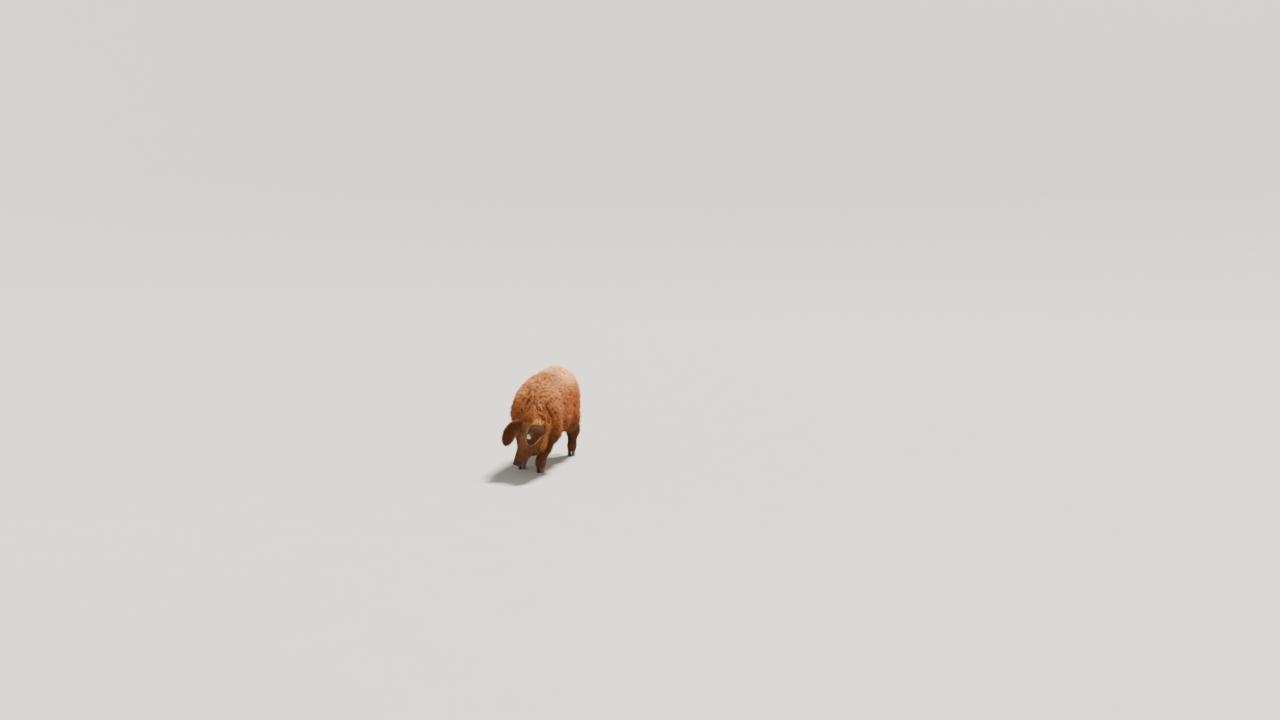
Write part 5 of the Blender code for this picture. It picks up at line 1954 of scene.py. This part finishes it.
@dataclass
class Studio:
    """The pale floor, the soft lights and the camera at the photograph's angle."""

    camera_at: Place = (2.295, -8.266, 1.57)
    azimuth: float = 10.5
    pitch: float = -4.99
    lens: float = 30.94
    flat_to: float = 22.0
    bend: float = 60.0
    slope: float = 25.0
    edge: float = 110.0
    sides: int = 96
    pig_middle: Place = (0.0, 0.0, 0.35)

    def floor(self) -> None:
        """Lays the round floor, which sweeps up all round far from the pig."""
        graph = Graph("floor")
        mottle = graph.noise(3.0, 4.0, 0.6)
        colour = graph.mix(mottle * 0.5, (0.46, 0.445, 0.42), (0.41, 0.40, 0.38))
        bend = np.linspace(0, math.radians(self.slope), 21)
        reach = np.concatenate([[6.0, 14.0], self.flat_to + self.bend * np.sin(bend), [self.edge]])
        height = np.concatenate([[0.0, 0.0], self.bend * (1 - np.cos(bend)), [0.0]])
        height[-1] = height[-2] + (reach[-1] - reach[-2]) * math.tan(bend[-1])
        ring = swung(turns_of(self.sides), np.array((1.0, 0, 0)), np.array((0, 1.0, 0)))
        points = reach[:, None, None] * ring + height[:, None, None] * np.array((0, 0, 1.0))
        quads = grid_quads(len(reach), self.sides)[:, [0, 3, 2, 1]]
        mesh = bpy.data.meshes.new("floor")
        mesh.from_pydata(points.reshape(-1, 3).tolist(), [], [list(range(self.sides))] + quads.tolist())
        mesh.polygons.foreach_set("use_smooth", np.ones(len(mesh.polygons), bool))
        mesh.materials.append(graph.surface(Base_Color=colour, Roughness=0.85 + mottle * 0.1))
        floor = bpy.data.objects.new("floor", mesh)
        bpy.context.scene.collection.objects.link(floor)

    @staticmethod
    def hang(name: str, data: bpy.types.ID, place: Place, turn: Sequence[float]) -> bpy.types.Object:
        """Hangs a light or camera in the scene at a place, turned by three angles."""
        obj = bpy.data.objects.new(name, data)
        obj.location = place
        obj.rotation_euler = turn
        bpy.context.scene.collection.objects.link(obj)
        return obj

    def light(self, name: str, kind: str, place: Place, aim: Place, power: float, colour: Colour,
              **settings: float) -> None:
        """Hangs one soft light.

        Args:
            name: its name.
            kind: AREA, or SUN for one that is far off.
            place: where it hangs.
            aim: what it faces.
            power: its strength.
            colour: its colour.
            settings: its size in metres, or its angle in radians.
        """
        lamp = bpy.data.lights.new(name, kind)
        lamp.energy = power
        lamp.color = colour
        for key, value in settings.items():
            setattr(lamp, key, value)
        way = Vector(aim) - Vector(place)
        self.hang(name, lamp, place, way.to_track_quat("-Z", "Y").to_euler())

    def build(self) -> None:
        """Makes the floor, lights, world and camera."""
        self.floor()
        angle, aim = math.radians(12.0), self.pig_middle
        self.light("key", "SUN", (0.5, 1.5, 2.4), (0.0, 0.0, 0.0), 13.5, (1.0, 0.94, 0.86), angle=angle)
        self.light("fill", "AREA", (-3.0, -3.2, 2.4), aim, 16.0, (1.0, 0.97, 0.94), size=3.0)
        self.light("front", "AREA", (2.6, -4.2, 2.6), aim, 24.0, (1.0, 0.98, 0.95), size=3.0)
        world = bpy.data.worlds.new("studio")
        world.use_nodes = True
        sky = world.node_tree.nodes["Background"].inputs
        sky["Color"].default_value = (1.0, 0.985, 0.96, 1.0)
        sky["Strength"].default_value = 0.50
        bpy.context.scene.world = world
        data = bpy.data.cameras.new("camera")
        data.lens = self.lens
        data.sensor_width = 36.0
        data.clip_end = 200.0
        turn = (math.radians(90.0 + self.pitch), 0.0, math.radians(self.azimuth))
        bpy.context.scene.camera = self.hang("camera", data, self.camera_at, turn)


def main() -> None:
    """Builds and dresses the pig, logging how many points and triangles each piece has and how many the coat
    has.
    """
    logging.basicConfig(level=logging.INFO, format="%(message)s")
    body = Body()
    ears, tail, skin = Ears(body), Tail(body), Skin(body)
    skin.build(ears, tail, HideFinish().material())
    coat = Coat(body, skin)
    wool = WoolFinish().material()
    coat.wool(wool)
    fur = WoolFinish(name="fur", rough=0.5).material()
    coat.face_fur(fur)
    coat.leg_fur(fur)
    ear_fur = WoolFinish(name="ear_fur", dark=(0.062, 0.022, 0.008), dark_tip=(0.125, 0.050, 0.020))
    coat.ear_fur(ears, ear_fur.material())
    coat.tassel(tail, wool)
    lashes = WoolFinish(name="lashes", root=(0.03, 0.015, 0.01), dark=(0.02, 0.012, 0.009))
    coat.lashes(lashes.material())
    Eyes(body).build(EyeFinish().material())
    Claws(body).build(HornFinish().material())
    EarTag(ears).build(TagFinish().material())
    Studio().build()
    log.info("coat: %d triangles", coat.made)


if __name__ == "__main__":
    main()
